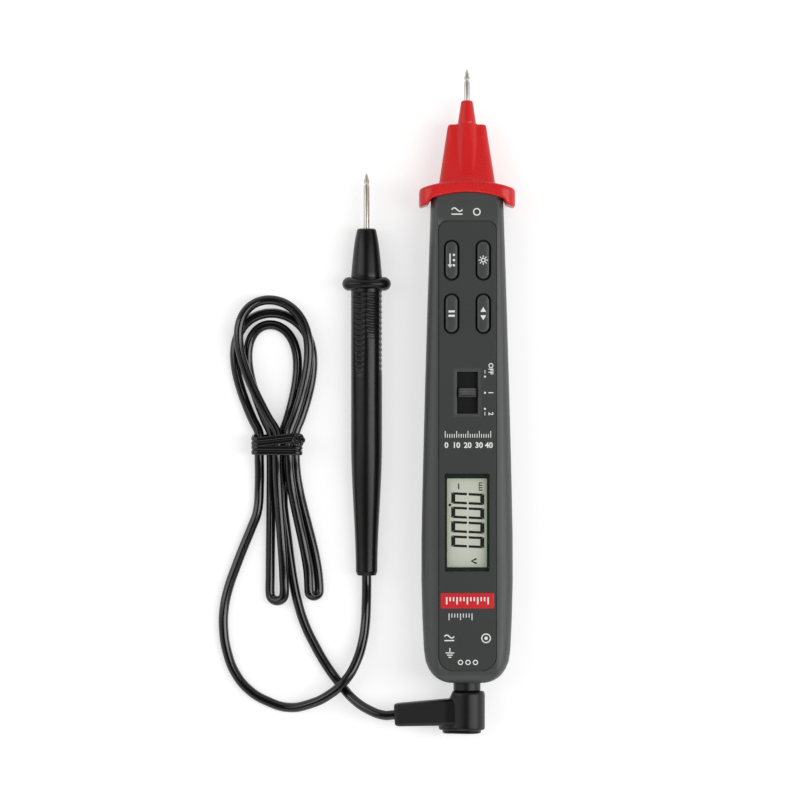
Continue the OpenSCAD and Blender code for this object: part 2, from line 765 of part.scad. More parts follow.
// The jack's bush is clamped between the two shells by its collars.
module jack_bush() {
    color("dimgray") translate([0, 0, axis_z]) difference() {
        union() {
            along_y(bush_end_y, bush_root_y) circle(d = bush_diameter);
            along_y(y_tail + wall + slip, y_tail + wall + slip + bush_collar) circle(bush_diameter / 2 + bush_collar);
        }
        along_y(bush_end_y - cut, bush_root_y - bush_floor) circle(bush_diameter / 2 - bush_wall);
        along_y(bush_root_y - bush_floor - cut, bush_root_y + cut) circle(contact_radius + pin_slip);
    }
}

module jack_contact() {
    color("goldenrod") translate([0, 0, axis_z]) {
        difference() {
            along_y(bush_root_y - contact_length, bush_root_y + contact_tail) circle(contact_radius);
            along_y(bush_root_y - contact_length - cut, bush_root_y - slip) circle(pin_diameter / 2 + pin_slip);
        }
        translate([-strip_width / 2, bush_root_y + contact_tail, 0])
            cube([strip_width, board_y0 - bush_root_y - contact_tail + strip_overlap, strip_thickness]);
        translate([-strip_width / 2, board_y0 + strip_overlap - strip_thickness, 0])
            cube([strip_width, strip_thickness, board_bottom - axis_z]);
    }
}

module battery_cells() {
    color("steelblue") for (s = [-1, 1]) translate([s * cell_x, y_bay, cell_z]) rotate([0, 0, s > 0 ? 0 : 180]) {
        along_y(-cell_length / 2, cell_length / 2 - cell_button) circle(d = cell_diameter);
        along_y(cell_length / 2 - cell_button - slip, cell_length / 2) circle(d = cell_button_diameter);
    }
}

module battery_springs() {
    color("silver") for (s = [-1, 1]) translate([s * cell_x, y_bay, cell_z]) rotate([0, 0, s > 0 ? 0 : 180])
        translate([0, -cell_length / 2 - bay_slack + contact_thickness, 0]) rotate([-90, 0, 0])
            cylinder(r1 = cell_diameter / 3, r2 = cell_diameter / 4, h = bay_slack - contact_thickness - slip / 2);
}

module battery_plates() {
    color("silver") {
        for (s = [-1, 1]) translate([0, y_bay + s * (cell_length + 2 * bay_slack - contact_thickness) / 2])
            slab(2 * cell_diameter - 2 * slip, contact_thickness, cell_z - cell_diameter / 3, cell_z + cell_diameter / 3);
        for (s = [-1, 1]) translate([s * cell_x, y_bay + s * (cell_length + bay_slack - contact_thickness) / 2])
            slab(cell_button_diameter, bay_slack - contact_thickness - slip, cell_z - cell_button_diameter / 2,
                cell_z + cell_button_diameter / 2);
    }
}

// Screw with its head at the bottom and a slot in it.
module screw(length) {
    translate([0, 0, head_height - slip]) cylinder(r = screw_radius, h = length - head_height + slip);
    difference() {
        cylinder(r = head_radius, h = head_height);
        translate([0, 0, -cut]) linear_extrude(cut + head_height / 2)
            square([2 * head_radius + cut, head_radius / 3], center = true);
    }
}

module case_screws() {
    color("silver") for (p = posts) translate([p[0], p[1], head_recess]) screw(screw_length);
}

module door_insert() {
    color("goldenrod") translate([0, door_screw_y, door_recess + door_thickness + slip]) difference() {
        cylinder(r = insert_radius, h = insert_length);
        translate([0, 0, -cut]) cylinder(r = screw_radius + door_play, h = insert_length + 2 * cut);
    }
}

// Key: cap, flange under the shell's roof and stem into its switch.
module key_at(column, row) {
    stem_z = board_top + switch_height - key_stem_reach;
    flange_top = roof_z - slip;
    translate([column * key_column_pitch / 2, y_keys - row * key_row_pitch]) {
        translate([0, 0, flange_top - slip]) linear_extrude(plate_top + key_rise - flange_top + slip)
            stadium(key_width, key_length);
        translate([0, 0, flange_top - flange]) linear_extrude(flange)
            stadium(key_width + 2 * key_gap + 2 * key_flange, key_flange_length);
        translate([0, 0, stem_z]) cylinder(d = key_stem_diameter, h = flange_top - flange / 2 - stem_z);
    }
}

module select_key() { color("darkslategray") key_at(-1, 0); }
module light_key() { color("darkslategray") key_at(1, 0); }
module hold_key() { color("darkslategray") key_at(-1, 1); }
module range_key() { color("darkslategray") key_at(1, 1); }

module slider_knob() {
    color("gray") translate([0, y_slot]) {
        slab(ridge_width, ridge_length, shutter_top, plate_top + ridge_rise);
    }
}

module slider_shutter() {
    color("black") translate([0, y_slot]) {
        slab(shutter_width, shutter_length, shutter_bottom, shutter_top);
        slab(fork_width, fork_length, board_top + slide_floor + slip, shutter_bottom + slip);
    }
}

module battery_door() {
    color("dimgray") difference() {
        union() {
            translate([0, (hinge_y + door_y1) / 2])
                slab(2 * door_half, door_y1 - hinge_y, door_recess, door_recess + door_thickness);
            translate([-door_half, hinge_y, door_recess + door_thickness / 2]) rotate([0, 90, 0])
                cylinder(d = door_thickness, h = 2 * door_half);
            translate([0, door_y0]) slab(hook_width, 2 * hook_reach, door_recess + door_thickness - slip,
                door_recess + door_thickness + hook_thickness);
        }
        translate([0, door_screw_y]) {
            translate([0, 0, -cut]) cylinder(r = head_radius + slip, h = cut + door_recess + head_height / 2 + slip);
            cylinder(r = screw_radius + slip, h = housing_thickness);
        }
    }
}

module door_screw() {
    color("silver") translate([0, door_screw_y, door_recess + slip]) {
        cylinder(r = screw_radius, h = door_screw_length);
        cylinder(r = head_radius, h = head_height / 2);
    }
}

// Elbow plug
module plug_boot() {
    r = boot_diameter / 2;
    color("black") difference() {
        union() {
            translate([0, 0, axis_z]) turned_y(boot_bottom_y) polygon([[0, 0], [r - boot_round / 2, 0],
                [r, boot_round / 2], [r, boot_length - boot_round], [r - boot_round / 3, boot_length - boot_round / 3],
                [r - boot_round, boot_length], [0, boot_length]]);
            translate([0, arm_y, axis_z]) rotate([0, 0, arm_lean]) rotate([0, -90, 0])
                cylinder(d1 = arm_diameter, d2 = arm_end_diameter, h = arm_reach);
        }
        translate([0, 0, axis_z]) {
            along_y(boot_top_y - shroud_seat, boot_top_y + cut) circle(shroud_diameter / 2 + pin_slip);
            along_y(boot_top_y - pin_seat, boot_top_y) circle(pin_diameter / 2 + pin_slip);
        }
    }
}

module plug_cap() {
    color("black") translate([0, 0, axis_z]) along_y(boot_bottom_y - cap_thickness, boot_bottom_y)
        circle(boot_diameter / 2 - cap_setback);
}

module plug_shroud() {
    color("black") translate([0, 0, axis_z]) along_y(boot_top_y - shroud_seat + slip, boot_top_y + shroud_length)
        difference() {
            circle(d = shroud_diameter);
            circle(shroud_diameter / 2 - shroud_wall);
        }
}

module plug_pin() {
    color("silver") translate([0, 0, axis_z])
        along_y(boot_top_y - pin_seat + slip, boot_top_y + shroud_length - pin_setback) circle(d = pin_diameter);
}

// Free stretches of the cord
plug_route = concat([cord_exit, cord_exit + cord_diameter * arm_dir], plug_points,
    [[tie_x + strand_d, tie_y - tail_run - cord_diameter, cord_r], [tie_x + strand_d, tie_y - tail_run, cord_r]]);
probe_route = concat([probe_exit, probe_exit + cord_diameter * tail_dir], probe_points,
    [[tie_x + strand_a, tie_y - tail_run - cord_diameter, cord_r], [tie_x + strand_a, tie_y - tail_run, cord_r]]);

module plug_cord() {
    color([0.12, 0.12, 0.12]) tube(plug_route, cord_r, cord_sides);
}

module probe_cord() {
    color([0.12, 0.12, 0.12]) tube(probe_route, cord_r, cord_sides);
}

// The hank's path, beside the middle of its tie.
function lift(y) = tie_lift * ease(within((lift_reach - abs(y)) / (lift_reach - hold_half)));
function upper_point(x0, x1, loop, t) =
    let (a = 180 * t, half = (x1 - x0) / 2)
    let (y = hold_half + (loop[0] - hold_half) * sin(a))
    [(x0 + x1) / 2 - half * cos(a) - sign(half) * loop[1] * sin(2 * a) + loop[2] * sin(a), y,
        cord_r + loop[3] - (loop[3] > 0 ? arc_sag * pow(sin(a), sag_sharpness) : 0) + lift(y)];
// one side of a lower loop, from the tie to the start of its fold
function side_point(x0, x1, run, high, t) =
    let (y = -hold_half - run * t)
    [mix(x0, x1, ease(t)), y, cord_r + lift(y)
        + (high ? mix(top_layer, tip_rise, ease(within((t - tip_share) / (1 - tip_share)))) : 0)];
function lower_loop(x0, x1, fold, from_high) =
    let (r = fold[1], s = sign(x1 - x0), run = fold[0] - r - hold_half, n = (loop_steps - fold_steps) / 2)
    concat(
        [for (i = [0:n - 1]) side_point(x0, fold[2] - s * r, run, from_high, i / n)],
        [for (i = [0:fold_steps]) let (a = 180 * i / fold_steps)
            [fold[2] - s * r * cos(a), -hold_half - run - r * sin(a),
                cord_r + tip_rise * (from_high ? 1 + cos(a) : 1 - cos(a)) / 2]],
        [for (i = [n - 1:-1:0]) side_point(x1, fold[2] + s * r, run, !from_high, i / n)]);
function upper_loop(x0, x1, loop) = [for (i = [0:loop_steps]) upper_point(x0, x1, loop, i / loop_steps)];
function hank_end(x, places) = [for (y = places) [x, y, cord_r + lift(y)]];

hank_path = concat(
    hank_end(strand_a, [-tail_run, -lift_reach, -hold_half]),
    upper_loop(strand_a, strand_f, middle_loop),
    lower_loop(strand_f, strand_e, right_fold, false),
    upper_loop(strand_e, strand_c, outer_loop),
    lower_loop(strand_c, strand_b, left_fold, true),
    upper_loop(strand_b, strand_d, inner_loop),
    hank_end(strand_d, [-hold_half, -lift_reach, -tail_run]));

module cord_hank() {
    color([0.12, 0.12, 0.12]) tube([for (p = hank_path) [tie_x, tie_y, 0] + p], cord_r, hank_sides);
}

// Least gap between two stretches of the hank, measured on its points and the middles between them.
hank_fine = [for (i = [0:len(hank_path) - 2]) each [hank_path[i], (hank_path[i] + hank_path[i + 1]) / 2]];
hank_runs = [for (i = 0, s = 0; i < len(hank_fine); s = s + (i + 1 < len(hank_fine)
    ? norm(hank_fine[min(i + 1, len(hank_fine) - 1)] - hank_fine[i]) : 0), i = i + 1) s];
hank_gap = min([for (i = [0:len(hank_fine) - 2]) for (j = [i + 1:len(hank_fine) - 1])
    if (hank_runs[j] - hank_runs[i] > 3 * cord_diameter) norm(hank_fine[i] - hank_fine[j])]) - cord_diameter;
echo(hank_gap = hank_gap, hank_length = hank_runs[len(hank_runs) - 1]);

// Twisted tie: two wraps round all the strands and a knot at their right.
module hank_tie() {
    x0 = tie_x + strand_a - cord_r - tie_gap - tie_wrap;
    x1 = tie_x + strand_f + cord_r + tie_gap + tie_wrap;
    z1 = tie_lift + 2 * cord_r + top_layer + tie_gap + tie_wrap;
    color([0.08, 0.08, 0.08]) {
        for (s = [-1, 1]) translate([(x0 + x1) / 2, tie_y + s * (tie_width + tie_step) / 2, 0])
            translate([0, 0, z1 / 2]) along_y(-tie_width / 2, tie_width / 2) difference() {
                rounded(x1 - x0, z1, tie_round);
                rounded(x1 - x0 - 2 * tie_wrap, z1 - 2 * tie_wrap, tie_round - tie_wrap / 2);
            }
        translate([x1 - tie_round / 2, tie_y + tie_width / 2, z1 + knot_radius - tie_gap])
            rotate_extrude($fn = few_facets)
            translate([knot_ring, 0]) circle(knot_radius);
    }
}

// Probe: placed by its finger guard and tail, which both touch the table.
module probe_place() {
    translate([probe_x, probe_y, collar_drop]) rotate([probe_tilt, 0, 0]) children();
}

module probe_handle() {
    r = handle_diameter / 2;
    color([0.15, 0.15, 0.15]) probe_place() difference() {
        union() {
            intersection() {
                turned_y(0) {
                    translate([collar_width / 2 - collar_thickness / 2, 0]) circle(d = collar_thickness);
                    translate([0, -collar_thickness / 2]) square([collar_width / 2 - collar_thickness / 2, collar_thickness]);
                }
                cube([2 * collar_width, 2 * collar_width, collar_height], center = true);
            }
            along_y(-collar_thickness / 2 - grip_length, 0) circle(r);
            translate([0, -collar_thickness / 2 - handle_length, 0]) rotate([-90, 0, 0])
                cylinder(r1 = handle_tail_diameter / 2, r2 = r, h = handle_length - grip_length);
        }
        along_y(-probe_bore_depth, collar_width) circle(root_radius + pin_slip);
    }
}

module probe_nose() {
    r0 = probe_nose_diameter / 2;
    r1 = handle_diameter / 2;
    color([0.15, 0.15, 0.15]) probe_place() difference() {
        turned_y(collar_thickness / 2) polygon(concat([[0, 0]],
            [for (i = [0:nose_steps]) let (t = i / nose_steps)
                [mix(r0, r1, sqrt(1 - t)), t * (probe_nose_length - probe_nose_round)]],
            [[r0 - probe_nose_round, probe_nose_length], [0, probe_nose_length]]));
        along_y(0, probe_nose_length + collar_thickness) circle(root_radius + pin_slip);
    }
}

module probe_needle() {
    color("silver") probe_place()
        needle(-probe_bore_depth + slip, collar_thickness / 2 + probe_nose_length,
            collar_thickness / 2 + probe_nose_length + probe_needle_length);
}

front_shell();
rear_shell();
face_plate();
name_plate();
nose_guard();
needle_socket();
meter_needle();
needle_strip();
display_window();
display_glass();
display_frame();
display_backlight();
display_connectors();
circuit_board();
tact_switches();
slide_switch();
processor_chip();
buzzer();
jack_bush();
jack_contact();
battery_cells();
battery_springs();
battery_plates();
case_screws();
door_insert();
select_key();
light_key();
hold_key();
range_key();
slider_knob();
slider_shutter();
battery_door();
door_screw();
plug_boot();
plug_cap();
plug_shroud();
plug_pin();
plug_cord();
cord_hank();
hank_tie();
probe_cord();
probe_handle();
probe_nose();
probe_needle();
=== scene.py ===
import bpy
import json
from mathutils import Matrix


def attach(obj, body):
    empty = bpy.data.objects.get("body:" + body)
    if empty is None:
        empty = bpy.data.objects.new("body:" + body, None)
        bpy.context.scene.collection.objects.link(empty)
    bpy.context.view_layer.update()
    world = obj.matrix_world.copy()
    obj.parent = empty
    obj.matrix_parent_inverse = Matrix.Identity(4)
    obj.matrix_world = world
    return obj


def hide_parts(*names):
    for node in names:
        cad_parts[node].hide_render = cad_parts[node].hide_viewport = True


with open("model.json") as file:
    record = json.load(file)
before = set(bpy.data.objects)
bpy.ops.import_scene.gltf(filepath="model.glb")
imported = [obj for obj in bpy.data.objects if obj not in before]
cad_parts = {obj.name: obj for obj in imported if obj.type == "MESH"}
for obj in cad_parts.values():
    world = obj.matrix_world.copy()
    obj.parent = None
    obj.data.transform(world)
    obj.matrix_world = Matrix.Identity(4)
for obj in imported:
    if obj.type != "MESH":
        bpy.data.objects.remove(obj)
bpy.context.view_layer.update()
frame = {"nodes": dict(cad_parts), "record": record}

import json
from math import cos, hypot, pi, radians, sin, sqrt

import bmesh
import bpy
from mathutils import Matrix, Vector

scene = bpy.context.scene
scene.view_settings.view_transform = "Standard"
mm = 0.001  # pieces are drawn in millimetres and scaled when they are finished


def linkNew(name, data):
    made = bpy.data.objects.new(name, data)
    scene.collection.objects.link(made)
    return made


print("camera, floor and light")
studio = {
    "lens": 200,  # long lens, straight above
    "middle": (-23.45, 14.0),
    "height": 1567.6,
    "floorSize": 3.0,
    "floorColour": (0.7, 0.7, 0.7),
    "floorGlow": 0.5,
    "skyLow": 0.8,  # what glossy rays see near the horizon
    "skyHigh": 0.06,  # and straight above
    "skyFall": (0.55, 0.9),  # how high the change lies
    "skyFill": 0.42,
    "lamps": [  # place, target, size, watts
        ((0.95, -0.05, 1.05), (0.0, 0.0, 0.0), (0.5, 1.5), 9.6),
        ((-1.05, 0.25, 1.0), (-0.03, 0.0, 0.0), (0.5, 1.4), 4.2),
        ((0.05, -1.25, 0.9), (0.0, 0.0, 0.0), (1.2, 0.4), 1.6),
    ],
}

camera = bpy.data.cameras.new("camera")
camera.lens, camera.sensor_width = studio["lens"], 36
camera.clip_start, camera.clip_end = 0.01, 20
cameraObject = linkNew("camera", camera)
cameraObject.location = [v * mm for v in (*studio["middle"], studio["height"])]
scene.camera = cameraObject

for index, (place, target, size, watts) in enumerate(studio["lamps"]):
    lamp = bpy.data.lights.new(f"softbox{index}", "AREA")
    lamp.shape, lamp.size, lamp.size_y, lamp.energy = "RECTANGLE", size[0], size[1], watts
    lampObject = linkNew(f"softbox{index}", lamp)
    aim = (Vector(place) - Vector(target)).to_track_quat("Z", "Y")
    lampObject.matrix_world = Matrix.LocRotScale(Vector(place), aim, None)


class Signal:  # one value in a shader; sums and products of signals add their own Math nodes
    def __init__(self, nodes, socket):
        self.nodes, self.socket = nodes, socket

    def __add__(self, other):
        return self.nodes.calc("ADD", self, other)

    def __sub__(self, other):
        return self.nodes.calc("SUBTRACT", self, other)

    def __rsub__(self, other):
        return self.nodes.calc("SUBTRACT", other, self)

    def __mul__(self, other):
        return self.nodes.calc("MULTIPLY", self, other)

    def __abs__(self):
        return self.nodes.calc("ABSOLUTE", self)

    def least(self, other):
        return self.nodes.calc("MINIMUM", self, other)

    def most(self, other):
        return self.nodes.calc("MAXIMUM", self, other)

    def root(self):
        return self.nodes.calc("SQRT", self)

    def step(self, low, high, **ends):  # 0 below low, 1 above high, soft between
        settings = {"interpolation_type": "SMOOTHSTEP"}
        return self.nodes.add("MapRange", settings, {"Value": self, "From Min": low, "From Max": high, **ends})

    __radd__ = __add__
    __rmul__ = __mul__


class Nodes:  # a node tree and the one way to add a node to it
    def __init__(self, tree):
        self.tree = tree

    def feed(self, socket, value):
        if isinstance(value, Signal):
            self.tree.links.new(value.socket, socket)
        else:
            socket.default_value = value

    def add(self, kind, settings=None, values=(), out=0):
        node = self.tree.nodes.new("ShaderNode" + kind)
        for name, value in (settings or {}).items():
            setattr(node, name, value)
        for key, value in values.items() if isinstance(values, dict) else enumerate(values):
            self.feed(node.inputs[key], value)
        return Signal(self, node.outputs[out])

    def calc(self, operation, *parts):
        return self.add("Math", {"operation": operation}, parts)

    def outputs(self, kind, keys, values=()):
        node = self.add(kind, values=values).socket.node
        return [Signal(self, node.outputs[key]) for key in keys]

    def seenDirectly(self):
        # 1 for what the camera, mirrors and glass see, 0 for the light on the object
        rays = ("Is Camera Ray", "Is Glossy Ray", "Is Transmission Ray")
        camera, glossy, through = self.outputs("LightPath", rays)
        return camera.most(glossy).most(through)


class Finish(Nodes):  # a material round one Principled shader
    def __init__(self, name, colour, roughness, **fixed):
        self.material = bpy.data.materials.new(name)
        self.material.use_nodes = True
        super().__init__(self.material.node_tree)
        self.shader = self.tree.nodes["Principled BSDF"]
        self.set(Base_Color=(*colour, 1), Roughness=roughness, **fixed)
        self.place = self.add("TexCoord", out="Object")

    def set(self, **values):
        for name, value in values.items():
            self.feed(self.shader.inputs[name.replace("_", " ")], value)

    def noise(self, scale, detail=2.0, place=None):
        return self.add("TexNoise", values={"Vector": place or self.place, "Scale": scale, "Detail": detail})

    def axes(self):
        return self.outputs("SeparateXYZ", range(3), {0: self.place})

    def blend(self, factor, first, second):
        first, second = [(*c, 1) if isinstance(c, tuple) else c for c in (first, second)]
        return self.add("Mix", {"data_type": "RGBA"}, {0: factor, 6: first, 7: second}, out=2)

    def bump(self, height, strength, depth):
        self.set(Normal=self.add("Bump", values={"Height": height, "Strength": strength, "Distance": depth}))


def shade(colour, share):
    return tuple(min(1.0, c * share) for c in colour)


def moulded(name, colour, roughness, grain=2600.0, depth=0.00002, strength=0.25, spread=0.08, tone=None,
            **fixed):
    # moulded plastic: fine grain in the bump, slow change in colour and gloss; a tone makes its own colour
    finish = Finish(name, colour, roughness, **fixed)
    slow = finish.noise(60.0, 3.0)
    fine = finish.noise(grain)
    if tone:
        base = tone(finish, slow)
    else:
        base = finish.blend(slow, shade(colour, 1 - spread), shade(colour, 1 + spread))
    finish.set(Base_Color=base, Roughness=(fine - 0.5) * 0.12 + (slow - 0.5) * 0.1 + roughness)
    finish.bump(fine, strength, depth)
    return finish


def metal(name, colour, roughness, stretch=(1, 0.06, 1), **fixed):
    # turned or drawn metal: fine lines across the axis, slightly uneven gloss
    finish = Finish(name, colour, roughness, Metallic=1.0, **fixed)
    lined = finish.add("Mapping", values={"Vector": finish.place, "Scale": stretch})
    lines = finish.noise(5200.0, 3.0, lined)
    slow = finish.noise(180.0)
    finish.set(Base_Color=finish.blend(slow, shade(colour, 0.9), shade(colour, 1.06)),
               Roughness=(lines - 0.5) * 0.25 + (slow - 0.5) * 0.12 + roughness)
    finish.bump(lines, 0.12, 0.00001)
    return finish


def makeSky():
    world = bpy.data.worlds.new("sky")
    world.use_nodes = True
    scene.world = world
    sky = Nodes(world.node_tree)
    back = sky.tree.nodes["Background"]
    back.inputs["Color"].default_value = (1, 1, 1, 1)
    up = sky.outputs("SeparateXYZ", (2,), {0: sky.add("TexCoord", out="Generated")})[0]
    fall = up.step(*studio["skyFall"], **{"To Min": studio["skyLow"], "To Max": studio["skyHigh"]})
    level = sky.add("Mix", values={0: sky.seenDirectly(), 2: studio["skyFill"], 3: fall})
    sky.feed(back.inputs["Strength"], level)


makeSky()

floorMesh = bmesh.new()
bmesh.ops.create_grid(floorMesh, x_segments=1, y_segments=1, size=studio["floorSize"])
floorData = bpy.data.meshes.new("floor")
floorMesh.to_mesh(floorData)
floorMesh.free()
floorObject = linkNew("floor", floorData)
floorFinish = Finish("paper", studio["floorColour"], 0.9, Specular_IOR_Level=0.0)
glow = floorFinish.seenDirectly() * studio["floorGlow"]
floorFinish.set(Emission_Color=floorFinish.blend(glow, (0, 0, 0), (1, 1, 1)), Emission_Strength=1.0)
floorData.materials.append(floorFinish.material)


# face plate, keys and display come before the finishes, which use their places
face = {"x": 9.9, "y0": -80.15, "y1": 76.25, "endRound": 4.9, "topRound": 3.0, "bottom": 20.45, "top": 21.25,
        "keyOpening": (5.3, 14.1), "keyX": 5.5, "keyY": (62.65, 44.05), "slotY": 16.54, "slot": (7.3, 14.6),
        "windowX": -0.15, "windowY": -28.67, "window": (15.6, 34.0), "nameY": -55.87, "name": (18.6, 5.4),
        "bevel": 0.3}
keyShape = {"size": (4.1, 12.9), "reach": 1.4, "flange": (18.1, 19.1), "top": 22.15, "stem": (3.2, 16.5),
            "crown": ((0.75, 0), (0.5, 0.05), (0.3, 0.16), (0.16, 0.36), (0.07, 0.66), (0.02, 1.1), (0, 1.65))}
display = {"y": -28.67, "flange": (16.6, 33.8), "lens": (15.4, 33.8), "mask": (17.7, 34.9),
           "maskLevels": (18.11, 18.17), "view": (-7.05, 6.85, -44.3, -13.37)}


print("finishes")
finishes = {
    "housing_plastic": moulded("housingPlastic", (0.062, 0.065, 0.064), 0.42, Specular_IOR_Level=0.42),
    "name_foil": moulded("nameFoil", (0.68, 0.010, 0.016), 0.35, grain=1800.0, strength=0.1),
    "red_plastic": moulded("redPlastic", (0.74, 0.012, 0.013), 0.3, grain=1500.0, strength=0.04, spread=0.05,
                           Specular_IOR_Level=0.4),
    "shutter_black": moulded("shutterBlack", (0.010, 0.010, 0.010), 0.6, Specular_IOR_Level=0.2),
    "white_plastic": moulded("whitePlastic", (0.8, 0.8, 0.77), 0.45),
    "zebra_rubber": moulded("zebraRubber", (0.55, 0.25, 0.32), 0.6),
    "switch_plastic": moulded("switchPlastic", (0.03, 0.03, 0.032), 0.45),
    "chip_black": moulded("chipBlack", (0.012, 0.012, 0.013), 0.6, grain=6000.0),
    "brass": metal("turnedBrass", (0.78, 0.56, 0.26), 0.28),
    "nickel": metal("nickelPlate", (0.58, 0.555, 0.505), 0.36),
    "steel": metal("zincSteel", (0.56, 0.56, 0.57), 0.36, stretch=(1, 1, 0.1)),
    "lead_plastic": moulded("leadPlastic", (0.0032, 0.0032, 0.0031), 0.3, grain=2200.0, strength=0.2,
                            Specular_IOR_Level=0.34),
    "cord_vinyl": moulded("cordVinyl", (0.0026, 0.0026, 0.0026), 0.16, grain=1400.0, strength=0.12,
                          depth=0.00003, Specular_IOR_Level=0.6),
    "tie_black": moulded("tieBlack", (0.0045, 0.0045, 0.0045), 0.2, grain=2400.0, strength=0.16,
                         Specular_IOR_Level=0.55),
}


def faceTone(finish, slow):
    # matt foil, with a painted highlight round the slider's slot: lighter on the slot's soft bevel, where it
    # would catch the light
    x, y, z = finish.axes()
    width, length = face["slot"]
    off = (abs(x) - width / 2 * mm).most(abs(y - face["slotY"] * mm) - length / 2 * mm)
    # painted highlight: a lighter band round the slot
    rim = 1 - off.step(0.0004, 0.0017)
    tone = finish.blend(slow, (0.042, 0.045, 0.044), (0.048, 0.051, 0.050))
    return finish.blend(rim * 0.8, tone, (0.074, 0.077, 0.075))


def sliderTone(finish, slow):
    # painted highlight: paler on the grooved top, where the ridge catches the light, between its two darker
    # ends
    x, y, z = finish.axes()
    top = (1 - abs(x).step(0.0023, 0.0027)) * z.step(0.0212, 0.0217) * y.step(0.0156, 0.0161)
    # painted highlight on the ridge's top, with a grain in it
    paintedHighlight = finish.blend(finish.noise(700.0, 3.0), (0.062, 0.064, 0.062), (0.11, 0.112, 0.108))
    return finish.blend(top, (0.036, 0.037, 0.036), paintedHighlight)


def keyTone(finish, slow):
    # grey top with a painted highlight, paler near its rounded edge, and painted shade: a near-black skirt down
    # in the opening, where no light gets
    x, y, z = finish.axes()
    tone = finish.blend(slow, (0.041, 0.043, 0.043), (0.048, 0.050, 0.050))
    width, length = keyShape["size"]
    upper, lower = [abs(y - place * mm) for place in face["keyY"]]
    across = abs(abs(x) - face["keyX"] * mm)
    along = (upper.least(lower) - (length - width) / 2 * mm).most(0.0)
    # painted highlight along the key's rounded edge
    rim = (across * across + along * along).root().step(0.0014, 0.0017)
    tone = finish.blend(rim * 0.7, tone, (0.075, 0.078, 0.077))
    # painted shade: near-black below the top, down in the opening
    return finish.blend(z.step(0.0211, 0.0216), (0.003, 0.003, 0.003), tone)


def bootPlastic():
    # glossy round the plug, matter along its arm, where painted light also makes it a little greyer
    finish = Finish("bootPlastic", (0.0042, 0.0042, 0.0041), 0.36, Specular_IOR_Level=0.34)
    x, y, z = finish.axes()
    arm = 1 - x.step(-0.0085, -0.0065)
    fine = finish.noise(2200.0)
    # painted light: the arm's colour is lighter, standing in for light on its broad face; its higher roughness
    # is real
    finish.set(Base_Color=finish.blend(arm, (0.0042, 0.0042, 0.0041), (0.011, 0.011, 0.0108)),
               Roughness=arm * 0.08 + (fine - 0.5) * 0.12 + 0.36)
    finish.bump(fine, 0.2, 0.00002)
    return finish


def cellJacket():
    # printed foil jacket: dark, a little worn, with a lighter band round one end
    finish = Finish("cellJacket", (0.03, 0.09, 0.24), 0.32, Coat_Weight=0.4)
    x, y, z = finish.axes()
    band = (y + 0.034).step(0.0075, 0.0078)
    wear = finish.noise(900.0, 3.0)
    body = finish.blend(band, (0.03, 0.09, 0.24), (0.62, 0.6, 0.55))
    finish.set(Base_Color=finish.blend(wear * 0.25, body, (0.02, 0.03, 0.05)), Roughness=wear * 0.12 + 0.26)
    return finish


def boardGreen():
    # solder mask over tracks: tracks show as paler lines, with round pads between them
    finish = Finish("boardGreen", (0.012, 0.1, 0.035), 0.35)
    rows = {"Vector": finish.place, "Scale": 220.0, "Mortar Size": 0.03}
    tracks = finish.add("TexBrick", {"offset": 0.5}, rows, out="Fac")
    pads = finish.add("TexVoronoi", values={"Vector": finish.place, "Scale": 420.0}).step(0.22, 0.18)
    tone = finish.blend(tracks, (0.012, 0.1, 0.035), (0.03, 0.2, 0.07))
    finish.set(Base_Color=finish.blend(pads, tone, (0.5, 0.42, 0.25)), Metallic=pads * 0.8)
    finish.bump(tracks, 0.3, 0.00003)
    return finish


def lcdGlass():
    # grey-green reflective film with a faint grain; painted shade makes it greener and darker towards its
    # edges, next to the frame round the view
    finish = Finish("lcdGlass", (0.68, 0.72, 0.60), 0.35, Specular_IOR_Level=0.3)
    x, y, z = finish.axes()
    left, right, bottom, top = [v * mm for v in display["view"]]
    side = (right - left) / 2 - abs(x - (left + right) / 2)
    end = (top - bottom) / 2 - abs(y - (bottom + top) / 2)
    # painted shade along the edges of the view
    edge = 1 - side.least(end).step(0.0, 0.0016)
    grain = finish.noise(3000.0, 1.0)
    tone = finish.blend(grain, (0.75, 0.79, 0.66), (0.83, 0.86, 0.74))
    finish.set(Base_Color=finish.blend(edge * 0.75, tone, (0.60, 0.70, 0.54)))
    return finish


finishes["face_foil"] = moulded("faceFoil", (0.045, 0.048, 0.047), 0.5, grain=4200.0, tone=faceTone,
                                Specular_IOR_Level=0.3)
finishes["slider_plastic"] = moulded("sliderPlastic", (0.07, 0.072, 0.07), 0.4, tone=sliderTone)
finishes["key_rubber"] = moulded("keyRubber", (0.043, 0.045, 0.045), 0.5, grain=3800.0, strength=0.35,
                                 tone=keyTone)
finishes["cell_foil"] = cellJacket()
finishes["board"] = boardGreen()
finishes["lcd_glass"] = lcdGlass()
finishes["window_plastic"] = moulded("windowPlastic", (0.12, 0.15, 0.12), 0.06, grain=900.0, strength=0.02,
                                     Alpha=0.06)
finishes["window_plastic"].material.surface_render_method = "BLENDED"
printWhite = moulded("printWhite", (0.88, 0.88, 0.86), 0.5, grain=6000.0, spread=0.04)
inkDark = moulded("inkDark", (0.005, 0.007, 0.004), 0.6, grain=5000.0, Specular_IOR_Level=0.1)
maskInk = moulded("maskInk", (0.008, 0.015, 0.009), 0.5, grain=3000.0, Specular_IOR_Level=0.1)
bootBlack = bootPlastic()
bushDark = moulded("bushDark", (0.011, 0.011, 0.011), 0.36, grain=2400.0, Specular_IOR_Level=0.32)

nodeSlots = {row["node"]: row["material_slot"] for row in frame["record"]["subparts"]}
for name, node in frame["nodes"].items():
    node.data.materials.clear()
    node.data.materials.append(finishes[nodeSlots[name]].material)
bodyOf = {name: body for body, names in frame["record"]["behaviour"]["bodies"].items() for name in names}


print("shape helpers")


